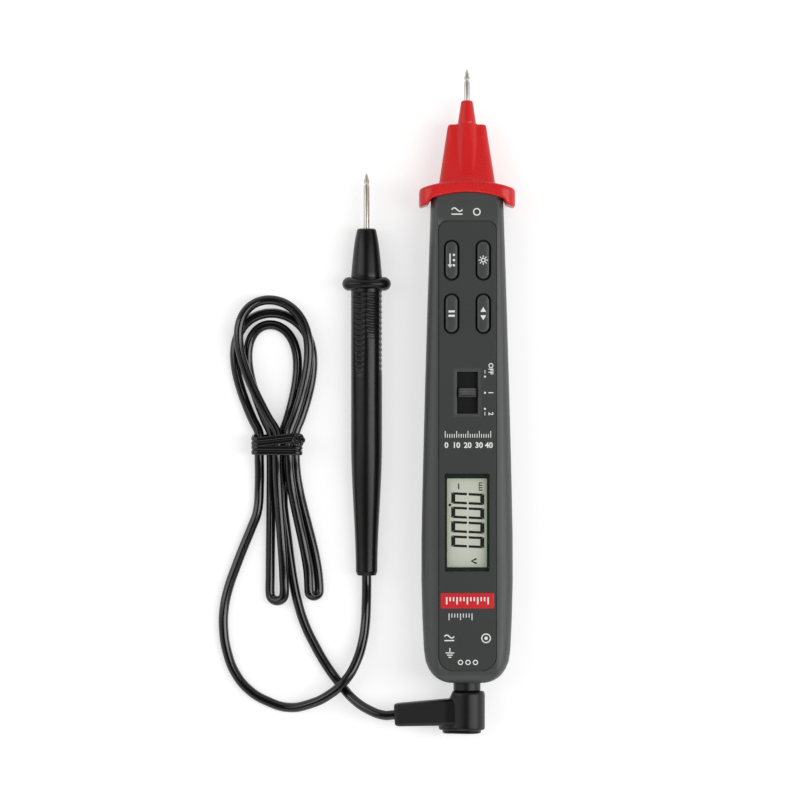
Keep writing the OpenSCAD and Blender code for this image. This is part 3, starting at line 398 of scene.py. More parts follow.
def addRing(bm, points):
    verts = [bm.verts.new(p) for p in points]
    return [bm.edges.new((a, b)) for a, b in zip(verts, verts[1:] + verts[:1])]


def loft(bm, rings):
    edges = [addRing(bm, ring) for ring in rings]
    for low, high in zip(edges, edges[1:]):
        bmesh.ops.bridge_loops(bm, edges=low + high)
    for ring in (edges[0], edges[-1]):
        bmesh.ops.edgeloop_fill(bm, edges=ring)
    return bm


def layered(bm, outlines, levels):
    # a plate drawn level by level: each level is a height and how far the edge is drawn in there
    last = None
    for height, inset in levels:
        edges = [addRing(bm, [(x, y, height) for x, y in outline(-inset * share)])
                 for outline, share in outlines]
        if last:
            for low, high in zip(last, edges):
                bmesh.ops.bridge_loops(bm, edges=low + high)
        else:
            bmesh.ops.triangle_fill(bm, edges=[e for ring in edges for e in ring], use_beauty=True)
        last = edges
    bmesh.ops.triangle_fill(bm, edges=[e for ring in last for e in ring], use_beauty=True)
    return bm


def arc(cx, cy, radius, start, end, steps):
    angles = [radians(start + (end - start) * i / steps) for i in range(steps + 1)]
    return [(cx + radius * cos(a), cy + radius * sin(a)) for a in angles]


def roundedOutline(x0, x1, y0, y1, low, high=None, steps=8):
    # rectangle with round corners, low and high radii, as a function of how far it is grown
    high = low if high is None else high

    def grown(by):
        a, b = max(low + by, 0.05), max(high + by, 0.05)
        left, right, bottom, top = x0 - by, x1 + by, y0 - by, y1 + by
        return (arc(right - a, bottom + a, a, -90, 0, steps) + arc(right - b, top - b, b, 0, 90, steps)
                + arc(left + b, top - b, b, 90, 180, steps) + arc(left + a, bottom + a, a, 180, 270, steps))
    return grown


def rectangle(cx, cy, width, length, corner):
    return roundedOutline(cx - width / 2, cx + width / 2, cy - length / 2, cy + length / 2, corner, steps=6)


def stadiumOutline(cx, cy, width, length, steps=14):
    return roundedOutline(cx - width / 2, cx + width / 2, cy - length / 2, cy + length / 2, width / 2 - 0.01,
                          steps=steps)


def turned(bm, profile, steps=72):
    # profile of (radius, place along +Y), spun round the Y axis
    verts = [bm.verts.new((r, y, 0)) for r, y in profile]
    edges = [bm.edges.new(pair) for pair in zip(verts, verts[1:])]
    bmesh.ops.spin(bm, geom=verts + edges, cent=(0, 0, 0), axis=(0, 1, 0), angle=2 * pi, steps=steps,
                   use_merge=True)
    return bm


def clean(bm):
    bmesh.ops.remove_doubles(bm, verts=bm.verts, dist=0.0004)
    bmesh.ops.recalc_face_normals(bm, faces=bm.faces)


def toObject(name, bm):
    clean(bm)
    bmesh.ops.scale(bm, vec=(mm, mm, mm), verts=bm.verts)
    mesh = bpy.data.meshes.new(name)
    bm.to_mesh(mesh)
    bm.free()
    return linkNew(name, mesh)


def addTo(bm, part):
    # puts a closed part into a mesh of several
    clean(part)
    mesh = bpy.data.meshes.new("part")
    part.to_mesh(mesh)
    part.free()
    bm.from_mesh(mesh)


def evaluated(item):
    # the mesh that an object, curve or text gives with its modifiers; the object itself is removed
    bpy.context.view_layer.update()
    mesh = bpy.data.meshes.new_from_object(item.evaluated_get(bpy.context.evaluated_depsgraph_get()))
    bpy.data.objects.remove(item)
    return mesh


def dress(piece, node, finish=None, stands=True, sharp=35):
    # finish, body, slot and smooth shading, from the node the piece stands for or goes with
    slotName = nodeSlots[node]
    finish = finish or finishes[slotName]
    if piece.type == "MESH":
        piece.data.materials.clear()
        piece.data.materials.append(finish.material)
        piece.data.shade_smooth()
        piece.data.set_sharp_from_angle(angle=radians(sharp))
    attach(piece, bodyOf[node])
    if stands:
        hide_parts(node)
    return piece


def finished(name, bm, node, finish=None, stands=True, sharp=35, place=None):
    if place is not None:
        bm.transform(place)
    return dress(toObject(name, bm), node, finish, stands, sharp)


def fused(name, bm, voxel, passes):
    # overlapping closed shapes become one skin with soft inner corners
    rough = toObject(name + "Rough", bm)
    remesh = rough.modifiers.new("remesh", "REMESH")
    remesh.mode, remesh.voxel_size, remesh.adaptivity = "VOXEL", voxel * mm, 0.0
    soft = bmesh.new()
    soft.from_mesh(evaluated(rough))
    for _ in range(passes):
        bmesh.ops.smooth_vert(soft, verts=soft.verts, factor=0.5,
                              use_axis_x=True, use_axis_y=True, use_axis_z=True)
    bmesh.ops.scale(soft, vec=(1 / mm,) * 3, verts=soft.verts)
    return soft


def evenShading(piece):
    # keeps large flat faces flat beside their rounded edges
    piece.modifiers.new("weighted", "WEIGHTED_NORMAL").keep_sharp = True
    return piece


def copyOf(node):
    # the node's own shape, merged and shaded smooth, where the form is right and only its facets show
    bm = bmesh.new()
    bm.from_mesh(frame["nodes"][node].data)
    bmesh.ops.remove_doubles(bm, verts=bm.verts, dist=0.000002)
    bmesh.ops.dissolve_limit(bm, angle_limit=radians(0.3), verts=bm.verts, edges=bm.edges)
    bmesh.ops.triangulate(bm, faces=[f for f in bm.faces if len(f.verts) > 4])
    mesh = bpy.data.meshes.new(node + "Skin")
    bm.to_mesh(mesh)
    bm.free()
    return evenShading(dress(linkNew(node + "Skin", mesh), node, sharp=30))


print("test lead's cord")
cordShape = {
    "diameter": 3.4,
    "exit": (-25.4651, -96.2861, 10.5),
    "armLean": 3.0,
    "probeExit": (-35.2, -47.6219, 3.8),
    "probeTilt": 1.3423,
    "tie": (-66.7, -1.8),
    "pitch": 4.2,
    "topLayer": 4.0,
    "lift": 1.2,
    "liftReach": 14.0,
    "hold": 3.8,
    "tipRise": 2.4,
    "tipShare": 0.6,
    "sag": 1.4,
    "outer": (51, 10.7, -4.8, 4.0),  # upper loops: reach, bulge, lean and layer
    "middle": (46.4, 9, -2, 0),
    "inner": (42.3, 7.2, -2.4, 0),
    "leftFold": (54.9, 2.5, 0),  # lower folds: reach, radius and place across
    "rightFold": (53.2, 1.7, 13),
    "plugPoints": [
        (-34.5, -94.6, 9), (-40, -91, 5.6), (-44.4, -86.2, 2.2), (-49, -80, 1.8), (-53.4, -72.5, 1.7),
        (-57, -65, 1.7), (-59.4, -57.5, 1.7), (-61, -50, 1.7), (-62.2, -42, 1.7), (-63.2, -34, 1.7),
        (-64.2, -26.5, 1.7)],
    "probePoints": [
        (-35.3, -57, 3), (-35.6, -64, 3), (-36.6, -71, 3.8), (-38.8, -78, 5.2), (-42.4, -84.2, 6.6),
        (-48.4, -89.6, 6.2), (-55.4, -93, 4.2), (-62.6, -94.3, 2.3), (-70, -92.2, 1.7), (-76.6, -88.2, 1.7),
        (-81.6, -82, 1.7), (-84.4, -74.6, 1.7), (-85.6, -67, 1.7), (-85.4, -59.4, 1.7), (-83.8, -52, 1.7),
        (-81.2, -44.6, 1.7), (-78.4, -37.4, 1.7), (-75.6, -30.6, 1.7), (-73.8, -25.8, 1.7)],
    "loopSteps": 24,
    "foldSteps": 8,
}
cordRadius = cordShape["diameter"] / 2
strand = {letter: share * cordShape["pitch"] for letter, share in
          {"a": -1.5, "b": -0.5, "c": 0, "d": 0.5, "e": 1, "f": 1.5}.items()}


def within(t):
    return max(0.0, min(1.0, t))


def ease(t):
    return t * t * (3 - 2 * t)


def mix(a, b, t):
    return a + (b - a) * t


def liftAt(y):
    reach, hold = cordShape["liftReach"], cordShape["hold"]
    return cordShape["lift"] * ease(within((reach - abs(y)) / (reach - hold)))


def upperLoop(x0, x1, loop):
    reach, bulge, lean, layer = loop
    half, hold, points = (x1 - x0) / 2, cordShape["hold"], []
    for i in range(cordShape["loopSteps"] + 1):
        a = pi * i / cordShape["loopSteps"]
        y = hold + (reach - hold) * sin(a)
        x = (x0 + x1) / 2 - half * cos(a) - (1 if half > 0 else -1) * bulge * sin(2 * a) + lean * sin(a)
        sag = cordShape["sag"] * sin(a) ** 16 if layer > 0 else 0
        points.append((x, y, cordRadius + layer - sag + liftAt(y)))
    return points


def sidePoint(x0, x1, run, high, t):
    y = -cordShape["hold"] - run * t
    share, rise = cordShape["tipShare"], 0
    if high:
        rise = mix(cordShape["topLayer"], cordShape["tipRise"], ease(within((t - share) / (1 - share))))
    return (mix(x0, x1, ease(t)), y, cordRadius + liftAt(y) + rise)


def lowerLoop(x0, x1, fold, fromHigh):
    reach, r, place = fold
    side = 1 if x1 > x0 else -1
    run = reach - r - cordShape["hold"]
    count = (cordShape["loopSteps"] - cordShape["foldSteps"]) // 2
    points = [sidePoint(x0, place - side * r, run, fromHigh, i / count) for i in range(count)]
    for i in range(cordShape["foldSteps"] + 1):
        a = pi * i / cordShape["foldSteps"]
        high = (1 + cos(a)) if fromHigh else (1 - cos(a))
        points.append((place - side * r * cos(a), -cordShape["hold"] - run - r * sin(a),
                       cordRadius + cordShape["tipRise"] * high / 2))
    back = [sidePoint(x1, place + side * r, run, not fromHigh, i / count) for i in range(count - 1, -1, -1)]
    return points + back


def cordRoute():
    hold, reach = cordShape["hold"], cordShape["liftReach"]
    tailRun = reach + cordShape["diameter"]
    hank = [(strand["a"], y, cordRadius + liftAt(y)) for y in (-reach, -hold)]
    hank += upperLoop(strand["a"], strand["f"], cordShape["middle"])
    hank += lowerLoop(strand["f"], strand["e"], cordShape["rightFold"], False)
    hank += upperLoop(strand["e"], strand["c"], cordShape["outer"])
    hank += lowerLoop(strand["c"], strand["b"], cordShape["leftFold"], True)
    hank += upperLoop(strand["b"], strand["d"], cordShape["inner"])
    hank += [(strand["d"], y, cordRadius + liftAt(y)) for y in (-hold, -reach, -tailRun)]
    tieX, tieY = cordShape["tie"]
    hank = [(tieX + x, tieY + y, z) for x, y, z in hank]
    lean, tilt = radians(cordShape["armLean"]), radians(cordShape["probeTilt"])
    arm = (-cos(lean), -sin(lean), 0)
    tail = (0, -cos(tilt), -sin(tilt))
    first, last = [[place, [a + cordShape["diameter"] * b for a, b in zip(place, way)]]
                   for place, way in ((cordShape["exit"], arm), (cordShape["probeExit"], tail))]
    x, y, z = hank[-1]
    return (first + cordShape["plugPoints"] + [(x, y - cordShape["diameter"], z)] + hank[::-1]
            + cordShape["probePoints"][::-1] + last[::-1])


def tubeCurve(name, points, radius, resolution, facets, cyclic=False):
    curve = bpy.data.curves.new(name, "CURVE")
    curve.dimensions = "3D"
    curve.bevel_depth, curve.bevel_resolution, curve.resolution_u = radius * mm, facets, resolution
    curve.use_fill_caps = True
    spline = curve.splines.new("BEZIER")
    spline.bezier_points.add(len(points) - 1)
    for knot, point in zip(spline.bezier_points, points):
        knot.co = [v * mm for v in point]
        knot.handle_left_type = knot.handle_right_type = "AUTO"
    spline.use_cyclic_u = cyclic
    return linkNew(name, curve)


cordPoints = cordRoute()
leadCord = tubeCurve("lead_cord", cordPoints, cordRadius, 5, 4)
leadCord.data.materials.append(finishes["cord_vinyl"].material)
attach(leadCord, "test_lead")
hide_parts("plug_cord", "cord_hank", "probe_cord")


print("tie")
tieShape = {"x0": -75.72, "x1": -57.68, "top": 9.62, "thickness": 0.9, "width": 3.5, "round": 2.6, "gap": 0.14,
            "slant": (-0.3, 0.9), "wave": (0.12, 0.55), "wire": 0.47,
            "knot": (-58.98, -0.05, 10.57), "knotReach": 1.5, "knotBend": 0.25, "knotRise": 0.45,
            "knotWire": 0.5}


def tieWrap(middleY, slant, wave):
    # flat tie with a wire along each edge, swept once round the strands
    x0, x1, top, thick = (tieShape[k] for k in ("x0", "x1", "top", "thickness"))
    outline = roundedOutline(x0, x1, 0, top, tieShape["round"], steps=10)
    outer, inner = outline(0), outline(-thick)
    bm, rings = bmesh.new(), []
    half = tieShape["width"] / 2
    lobe = [(0.5 * side + tieShape["wire"] * cos(radians(a)), 0.5 - 0.5 * sin(radians(a)))
            for side in (-1, 1) for a in range(180, -1, -20)]
    for (ox, oz), (ix, iz) in zip(outer, inner):
        along = (ox - (x0 + x1) / 2) / (x1 - x0)
        shift = (slant * along + wave * sin(2 * pi * along)) * (1 if oz > top / 2 else -0.3)
        rings.append(addRing(bm, [(mix(ox, ix, depth), middleY + shift + share * half, mix(oz, iz, depth))
                                  for share, depth in lobe + [(0.97, 1), (-0.97, 1)]]))
    for low, high in zip(rings, rings[1:] + rings[:1]):
        bmesh.ops.bridge_loops(bm, edges=low + high)
    return bm


tieY = cordShape["tie"][1]
for index, side in enumerate((-1, 1)):
    middleY = tieY + side * (tieShape["width"] + tieShape["gap"]) / 2
    wrap = tieWrap(middleY, tieShape["slant"][index], tieShape["wave"][index])
    finished(f"tie_wrap{index}", wrap, "hank_tie", sharp=50)


def knotLine(turn):
    # ring with three waves; two of them, half a wave apart, make the knot
    x, y, z = tieShape["knot"]
    points = []
    for i in range(18):
        a = 2 * pi * i / 18
        reach = tieShape["knotReach"] * (1 + tieShape["knotBend"] * cos(3 * a + turn))
        points.append((x + reach * cos(a), y + reach * sin(a), z + tieShape["knotRise"] * sin(3 * a + turn)))
    return points


for index, turn in enumerate((0, pi)):
    line = tubeCurve(f"tie_line{index}", knotLine(turn), tieShape["knotWire"], 3, 2, cyclic=True)
    dress(linkNew(f"tie_knot{index}", evaluated(line)), "hank_tie")


print("shells")
for name in ("front_shell", "rear_shell"):
    copyOf(name)


print("face plate")
keyPlaces = {"select_key": (-face["keyX"], face["keyY"][0]), "light_key": (face["keyX"], face["keyY"][0]),
             "hold_key": (-face["keyX"], face["keyY"][1]), "range_key": (face["keyX"], face["keyY"][1])}


def facePlate():
    rim = roundedOutline(-face["x"], face["x"], face["y0"], face["y1"], face["endRound"], face["topRound"],
                         steps=14)
    outlines = [(rim, 1.0)]
    outlines += [(stadiumOutline(x, y, *face["keyOpening"]), -1.0) for x, y in keyPlaces.values()]
    outlines += [(rectangle(0, face["slotY"], *face["slot"], 0.35), -4.6),  # slot with a wide, soft bevel
                 (rectangle(face["windowX"], face["windowY"], *face["window"], 0.5), -1.0)]
    bevel, top = face["bevel"], face["top"]
    levels = [(face["bottom"], 0), (top - bevel, 0)]
    levels += [(top - bevel + bevel * sin(radians(a)), bevel * (1 - cos(radians(a)))) for a in (22, 45, 68, 90)]
    return layered(bmesh.new(), outlines, levels)


evenShading(finished("face_foil", facePlate(), "face_plate", sharp=40))
nameLevels = [(21.0, 0.1), (21.02, 0), (21.24, 0), (21.31, 0.05), (21.345, 0.16)]
nameOutline = rectangle(0, face["nameY"], *face["name"], 0.4)
evenShading(finished("red_name_foil", layered(bmesh.new(), [(nameOutline, 1)], nameLevels), "name_plate"))


print("keys and slider")


def keyCap(x, y):
    low, high = keyShape["flange"]
    top = keyShape["top"]
    levels = [(low, -keyShape["reach"]), (high, -keyShape["reach"]), (high + 0.01, 0)]
    levels += [(top - down, drawn) for down, drawn in keyShape["crown"]]
    bm = layered(bmesh.new(), [(stadiumOutline(x, y, *keyShape["size"]), 1)], levels)
    width, foot = keyShape["stem"]
    head = low + 0.2  # the stem ends inside the flange
    middle = Matrix.Translation((x, y, (head + foot) / 2))
    bmesh.ops.create_cone(bm, cap_ends=True, segments=32, radius1=width / 2, radius2=width / 2,
                          depth=head - foot, matrix=middle)
    return bm


for name, place in keyPlaces.items():
    finished(name + "_cap", keyCap(*place), name, sharp=48)

slider = {"y": 16.54, "half": 1.6, "bottom": 19.0, "top": 21.95, "grooves": 3, "groove": 0.32,
          "stations": ((-3.1, 0.9), (-3.03, 0.96), (-2.85, 1), (2.85, 1), (3.03, 0.96), (3.1, 0.9))}


def sliderRidge():
    # loft across the slider: grooves in its top, ends slightly drawn in
    half, bottom, top = slider["half"], slider["bottom"], slider["top"]
    profile = [(-half, bottom), (-half, top - 0.35), (-half + 0.12, top - 0.1)]
    count = 24
    for i in range(count + 1):
        share = i / count
        wave = slider["groove"] * (0.5 - 0.5 * cos(2 * pi * share * slider["grooves"]))
        profile.append((mix(-half + 0.3, half - 0.3, share), top - wave))
    profile += [(half - 0.12, top - 0.1), (half, top - 0.35), (half, bottom)]
    middle, rings = (bottom + top) / 2, []
    for x, share in slider["stations"]:
        rise = mix(1, share, 0.7)
        rings.append([(x, slider["y"] + y * share, z if z < middle else mix(middle, z, rise))
                      for y, z in profile])
    return loft(bmesh.new(), rings)


finished("slider_ridge", sliderRidge(), "slider_knob", sharp=40)


print("display")
lensLevels = [(18.2, -1.05), (18.22, -1.1), (19.13, -1.1), (19.15, -1.05),  # flange under the face plate
              (19.16, 0), (20.95, 0), (21.05, 0.04), (21.12, 0.11), (21.15, 0.22)]


def lensOutline(grow):
    # wide flange below, narrower lens in the plate's opening above
    if grow > 0.5:
        return rectangle(0, display["y"], *display["flange"], 0.4)(grow)
    return rectangle(face["windowX"], display["y"], *display["lens"], 0.4)(grow)


lens = layered(bmesh.new(), [(lensOutline, 1)], lensLevels)
evenShading(finished("display_lens", lens, "display_window", sharp=40))


def maskFrame():
    outer = rectangle(0, display["y"], *display["mask"], 0.3)
    inner = roundedOutline(*display["view"], 0.25, steps=4)
    return layered(bmesh.new(), [(outer, 1), (inner, -1)], [(height, 0) for height in display["maskLevels"]])


finished("display_mask", maskFrame(), "display_glass", finish=maskInk, stands=False)


print("printing")


def fixed(points):
    return lambda grow: points


def strokeOutline(points, width):
    left, right, half = [], [], width / 2
    for i, (x, y) in enumerate(points):
        (x0, y0), (x1, y1) = points[max(i - 1, 0)], points[min(i + 1, len(points) - 1)]
        length = hypot(x1 - x0, y1 - y0)
        nx, ny = -(y1 - y0) / length * half, (x1 - x0) / length * half
        left.append((x + nx, y + ny))
        right.append((x - nx, y - ny))
    return left + right[::-1]


def circlePoints(cx, cy, radius, steps=24):
    return arc(cx, cy, radius, 0, 360, steps)[:-1]


class Print:  # flat ink: strokes, rings, dots and figures gathered in one thin mesh
    def __init__(self, base, height=0.02):
        self.bm, self.base, self.height = bmesh.new(), base, height

    def shape(self, *rings):
        layered(self.bm, [(fixed(ring), 1) for ring in rings], [(self.base, 0), (self.base + self.height, 0)])

    def stroke(self, points, width):
        self.shape(strokeOutline(points, width))

    def dot(self, x, y, radius):
        self.shape(circlePoints(x, y, radius))

    def ring(self, x, y, radius, width):
        self.shape(circlePoints(x, y, radius + width / 2), circlePoints(x, y, radius - width / 2))

    def waveOverLine(self, x, y, width, height, drop, line):
        self.stroke([(x + width * (i / 16 - 0.5), y + height * sin(2 * pi * i / 16)) for i in range(17)], line)
        self.stroke([(x - width / 2, y - drop), (x + width / 2, y - drop)], line)

    def ticks(self, x, y, pitch, count, length, longer, every, width):
        for i in range(count):
            end = y + length + (longer if i % every == 0 else 0)
            self.stroke([(x + i * pitch, y), (x + i * pitch, end)], width)

    def figures(self, text, x, y, size, turn=0, weight=0.0):
        curve = bpy.data.curves.new("figures", "FONT")
        curve.body, curve.size, curve.align_x, curve.align_y = text, size, "CENTER", "CENTER"
        curve.extrude, curve.offset = self.height / 2, weight
        curve.resolution_u = 3
        mesh = evaluated(linkNew("figures", curve))
        middle = Matrix.Translation((x, y, self.base + self.height / 2))
        mesh.transform(middle @ Matrix.Rotation(radians(turn), 4, "Z"))
        self.bm.from_mesh(mesh)


printed = {
    "lift": 0.004,  # between a surface and its ink
    "sliderMarks": (("OFF", 24.9, 22.14), ("1", 16.54, 16.54), ("2", 9.2, 10.94)),  # text, its place, its dot's
    "sliderX": 8.1, "sliderSize": 2.3, "dotX": 6.1, "dot": 0.36,
    "leaders": ((24.4, 23.2), (9.9, 8.6)), "leader": 0.22,
    "scale": (-7.7, 0.9, 0.79, 21, 1.3, 1.0, 5, 0.26),  # x, y, pitch, count, length, longer, every, width
    "numbers": (-7.3, -3.85, 0.1, 4.05, 7.5), "numberY": -1.8, "numberSize": 2.7,
    "lowerRow": (-6.4, -60.3, 1.0, 9, -1.4, -0.9, 4, 0.3),
    "nameRow": (-7.2, -54.6, 1.2, 13, -1.4, -1.1, 3, 0.5),
    "wave": (-6.3, -68.3, 3.4, 0.5, 1.4, 0.42),  # x, y, width, height, drop, line
    "noseWave": (-3.6, 80.3, 3.8, 0.6, 1.6, 0.45),
    "noseRing": (3.3, 79.5, 1.15, 0.42),  # x, y, radius, line
    "target": (6.5, -68.9, 1.5, 0.4), "targetDot": 0.6,
    "earth": (-6.1, -74.0), "earthLevels": (1.5, 1.0, 0.5), "earthPitch": 0.75, "earthStem": 1.7,
    "earthLine": 0.36,
    "jackRings": (-2.4, 0.2, 2.8), "jackY": -77.3, "jackRing": (0.75, 0.34),
}

facePrint = Print(face["top"] + printed["lift"])
for text, y, dotY in printed["sliderMarks"]:
    facePrint.figures(text, printed["sliderX"], y, printed["sliderSize"], turn=-90, weight=0.05)
    facePrint.dot(printed["dotX"], dotY, printed["dot"])
for ends in printed["leaders"]:
    facePrint.stroke([(printed["dotX"], y) for y in ends], printed["leader"])
facePrint.ticks(*printed["scale"])
for i, x in enumerate(printed["numbers"]):
    facePrint.figures(str(i * 10), x, printed["numberY"], printed["numberSize"], weight=0.07)
facePrint.ticks(*printed["lowerRow"])
facePrint.waveOverLine(*printed["wave"])
facePrint.ring(*printed["target"])
facePrint.dot(*printed["target"][:2], printed["targetDot"])
earthX, earthY = printed["earth"]
for i, half in enumerate(printed["earthLevels"]):
    y = earthY - i * printed["earthPitch"]
    facePrint.stroke([(earthX - half, y), (earthX + half, y)], printed["earthLine"])
facePrint.stroke([(earthX, earthY + printed["earthStem"]), (earthX, earthY)], printed["earthLine"])
for x in printed["jackRings"]:
    facePrint.ring(x, printed["jackY"], *printed["jackRing"])
finished("face_printing", facePrint.bm, "face_plate", finish=printWhite, stands=False)

namePrint = Print(nameLevels[-1][0] + 0.002)
namePrint.ticks(*printed["nameRow"])
finished("name_printing", namePrint.bm, "name_plate", finish=printWhite, stands=False)


housingTop = {"height": 21, "fall": 1.2, "run": 8.5}  # the housing falls towards the nose
nosePrint = Print(0.006)
nosePrint.waveOverLine(*printed["noseWave"])
nosePrint.ring(*printed["noseRing"])
for vert in nosePrint.bm.verts:
    down = ease(within((vert.co.y - face["y1"]) / housingTop["run"]))
    vert.co.z += housingTop["height"] - housingTop["fall"] * down
finished("nose_printing", nosePrint.bm, "front_shell", finish=printWhite, stands=False)

for name, (x, y) in keyPlaces.items():
    ink = Print(keyShape["top"] + printed["lift"])
    if name == "select_key":
        for i in range(3):
            ink.dot(x + 0.8, y - 1.8 + i * 1.8, 0.42)
        ink.stroke([(x - 0.55, y - 2.3), (x - 0.55, y + 2.3)], 0.4)
        ink.stroke([(x - 1.2, y - 1.5), (x - 0.55, y - 2.5), (x + 0.1, y - 1.5)], 0.4)
    elif name == "light_key":
        ink.ring(x, y, 0.66, 0.36)
        for i in range(8):
            a = pi / 4 * i
            ink.stroke([(x + r * cos(a), y + r * sin(a)) for r in (1.0, 1.6)], 0.34)
    elif name == "hold_key":
        for side in (-1, 1):
            ink.stroke([(x - 1.1, y + side * 0.75), (x + 1.1, y + side * 0.75)], 0.7)
    else:
        for side in (-1, 1):
            ink.shape([(x - 1.0 * side, y + side * 0.6), (x + 1.0 * side, y + side * 0.6), (x, y + side * 2.3)])
    finished(name + "_printing", ink.bm, name, finish=printWhite, stands=False)

digitShape = {"places": (-20.4, -25.4, -30.4, -35.45), "low": -5.6, "high": 5.95, "half": 2.0, "thick": 1.42,
              "thin": 0.86, "slant": 0.05, "gap": 0.22, "ink": 18.104, "point": (-6.05, -22.6, 0.5),
              "minus": ((-3.0, -15.1), (-3.0, -17.1)), "arrow": ((3.25, -41.3), (1.5, -42.15), (3.25, -43.0)),
              "comb": (4.15, 5.3), "combY": (-14.75, -17.6), "combPitch": 0.85}


def digitInk():
    ink = Print(digitShape["ink"], 0.006)
    low, high, half = digitShape["low"], digitShape["high"], digitShape["half"]
    thick, thin, slant = digitShape["thick"], digitShape["thin"], digitShape["slant"]
    middle = (low + high) / 2

    def spot(centre, u, v):  # u to the right and v up in the digit, whose top faces +X
        return (v, centre - (u + slant * (v - middle)))

    for centre in digitShape["places"]:
        for v0, v1 in ((low, low + thick), (high - thick, high)):
            inner, outer = (v1, v0) if v0 == low else (v0, v1)
            ink.shape([spot(centre, -half + 0.08, outer), spot(centre, half - 0.08, outer),
                       spot(centre, half - thin * 1.1, inner), spot(centre, -half + thin * 1.1, inner)])
        for side in (-1, 1):
            for end, tip in ((-1, low + 0.35), (1, high - 0.35)):
                a, b = middle + end * digitShape["gap"], tip
                ink.shape([spot(centre, side * half, a + end * 0.1), spot(centre, side * half, b),
                           spot(centre, side * (half - thin), b - end * 0.75),
                           spot(centre, side * (half - thin), a + end * 0.25),
                           spot(centre, side * (half - thin / 2), a)])
    ink.dot(*digitShape["point"])
    ink.stroke(digitShape["minus"], 0.45)
    ink.stroke(digitShape["arrow"], 0.68)
    for i in range(4):
        y = digitShape["combY"][0] - 0.15 - i * digitShape["combPitch"]
        ink.stroke([(x, y) for x in digitShape["comb"]], 0.34)
    ink.stroke([(digitShape["comb"][0], y) for y in digitShape["combY"]], 0.24)
    return ink.bm


finished("display_digits", digitInk(), "display_glass", finish=inkDark, stands=False)


print("guard, nose block and nozzle")
nose = {"width": 33.6, "frontRadius": 50, "frontCentre": 40.55, "backRadius": 37, "backCentre": 49.35,
        "half": 10.5, "round": 5.2, "tip": 1.0, "edge": 1.0, "hook": 1.4, "hookFrom": 12.9, "hookRun": 0.5,
        "axis": 10.5, "blockY": (88.55, 90.55, 110.55), "root": (19.4, 15.0), "end": (13.4, 3.2), "corner": 2.6,
        "hollow": 1.0, "voxel": 0.3}
noseRib = {"from": 92.0, "to": 110.4, "half": (2.5, 3.42), "rise": (-0.1, 1.8), "corner": (1.1, 3.4),
           "tail": ((110.9, 3.3), (111.25, 2.9))}


def roundedRing(halfA, halfB, corner, steps=5):
    corner = min(corner, halfA - 0.01, halfB - 0.01)
    points = []
    for a, b, start in ((1, -1, -90), (1, 1, 0), (-1, 1, 90), (-1, -1, 180)):
        points += arc(a * (halfA - corner), b * (halfB - corner), corner, start, start + 90, steps)
    return points


def fallBack(over, radius):
    # how far a round edge has fallen back, this far past its start
    return radius - sqrt(max(0, radius ** 2 - max(0, over) ** 2))


def guardBody(bm):
    rings, half = [], nose["width"] / 2
    for i in range(61):
        x = half * sin(radians(-90 + 3 * i))
        drawn = fallBack(abs(x) - half + nose["tip"], nose["tip"])
        high = nose["half"] - fallBack(abs(x) - half + nose["round"], nose["round"])
        front = nose["frontCentre"] + sqrt(nose["frontRadius"] ** 2 - x * x) - drawn
        back = nose["backCentre"] + sqrt(nose["backRadius"] ** 2 - x * x) + drawn
        back -= nose["hook"] * ease(within((abs(x) - nose["hookFrom"]) / nose["hookRun"]))
        rings.append([(x, (front + back) / 2 + v, nose["axis"] + w)
                      for v, w in roundedRing((front - back) / 2, high, nose["edge"])])
    loft(bm, rings)


def blockSize(t):
    # width and depth along the block, whose broad faces are slightly hollow
    width, depth = [mix(a, b, t) for a, b in zip(nose["root"], nose["end"])]
    return width, depth - nose["hollow"] * sin(pi * t)


def blockBody(bm):
    rings = []
    y0, y1, y2 = nose["blockY"]
    sizes = [(y0, *nose["root"])] + [(mix(y1, y2, i / 14), *blockSize(i / 14)) for i in range(14)]
    sizes += [(y2 - 0.7, nose["end"][0] + 0.2, 3.3), (y2 - 0.25, 13.0, 2.9), (y2, 12.2, 2.3)]  # round end
    for y, width, depth in sizes:
        rings.append([(a, y, nose["axis"] + b)
                      for a, b in roundedRing(width / 2, depth / 2, min(nose["corner"], depth / 2 - 0.1))])
    loft(bm, rings)


def ribBody(bm):
    # rib down the block's middle on both faces, growing into the round root of the nozzle
    part, rings = bmesh.new(), []
    y0, y1, y2 = nose["blockY"]
    for i in range(13):
        t = i / 12
        y = mix(noseRib["from"], noseRib["to"], t)
        block = blockSize(within((y - y1) / (y2 - y1)))[1] / 2
        wide = mix(*noseRib["half"], t)
        high = max(block + mix(*noseRib["rise"], t ** 0.7), noseRib["half"][1])
        corner = mix(*noseRib["corner"], t ** 3)
        rings.append([(a, y, nose["axis"] + b) for a, b in roundedRing(wide, high, corner, steps=8)])
    for y, radius in noseRib["tail"]:
        rings.append([(a, y, nose["axis"] + b) for a, b in roundedRing(radius, radius, radius - 0.02, steps=8)])
    loft(part, rings)
    addTo(bm, part)


noseRough = bmesh.new()
guardBody(noseRough)
blockBody(noseRough)
ribBody(noseRough)
finished("guard_and_nose", fused("nose", noseRough, nose["voxel"], 4), "nose_guard", sharp=70)

meterAxis = Matrix.Translation((0, 0, nose["axis"]))
nozzleProfile = [(0, 108.0), (3.05, 108.0), (3.1, 111.2), (3.14, 111.35), (3.1, 111.6), (2.16, 117.9),
                 (2.06, 118.4), (1.8, 118.75), (1.4, 118.93), (1.1, 118.95), (0, 118.95)]
finished("nozzle_skin", turned(bmesh.new(), nozzleProfile), "nose_guard", place=meterAxis, sharp=60)


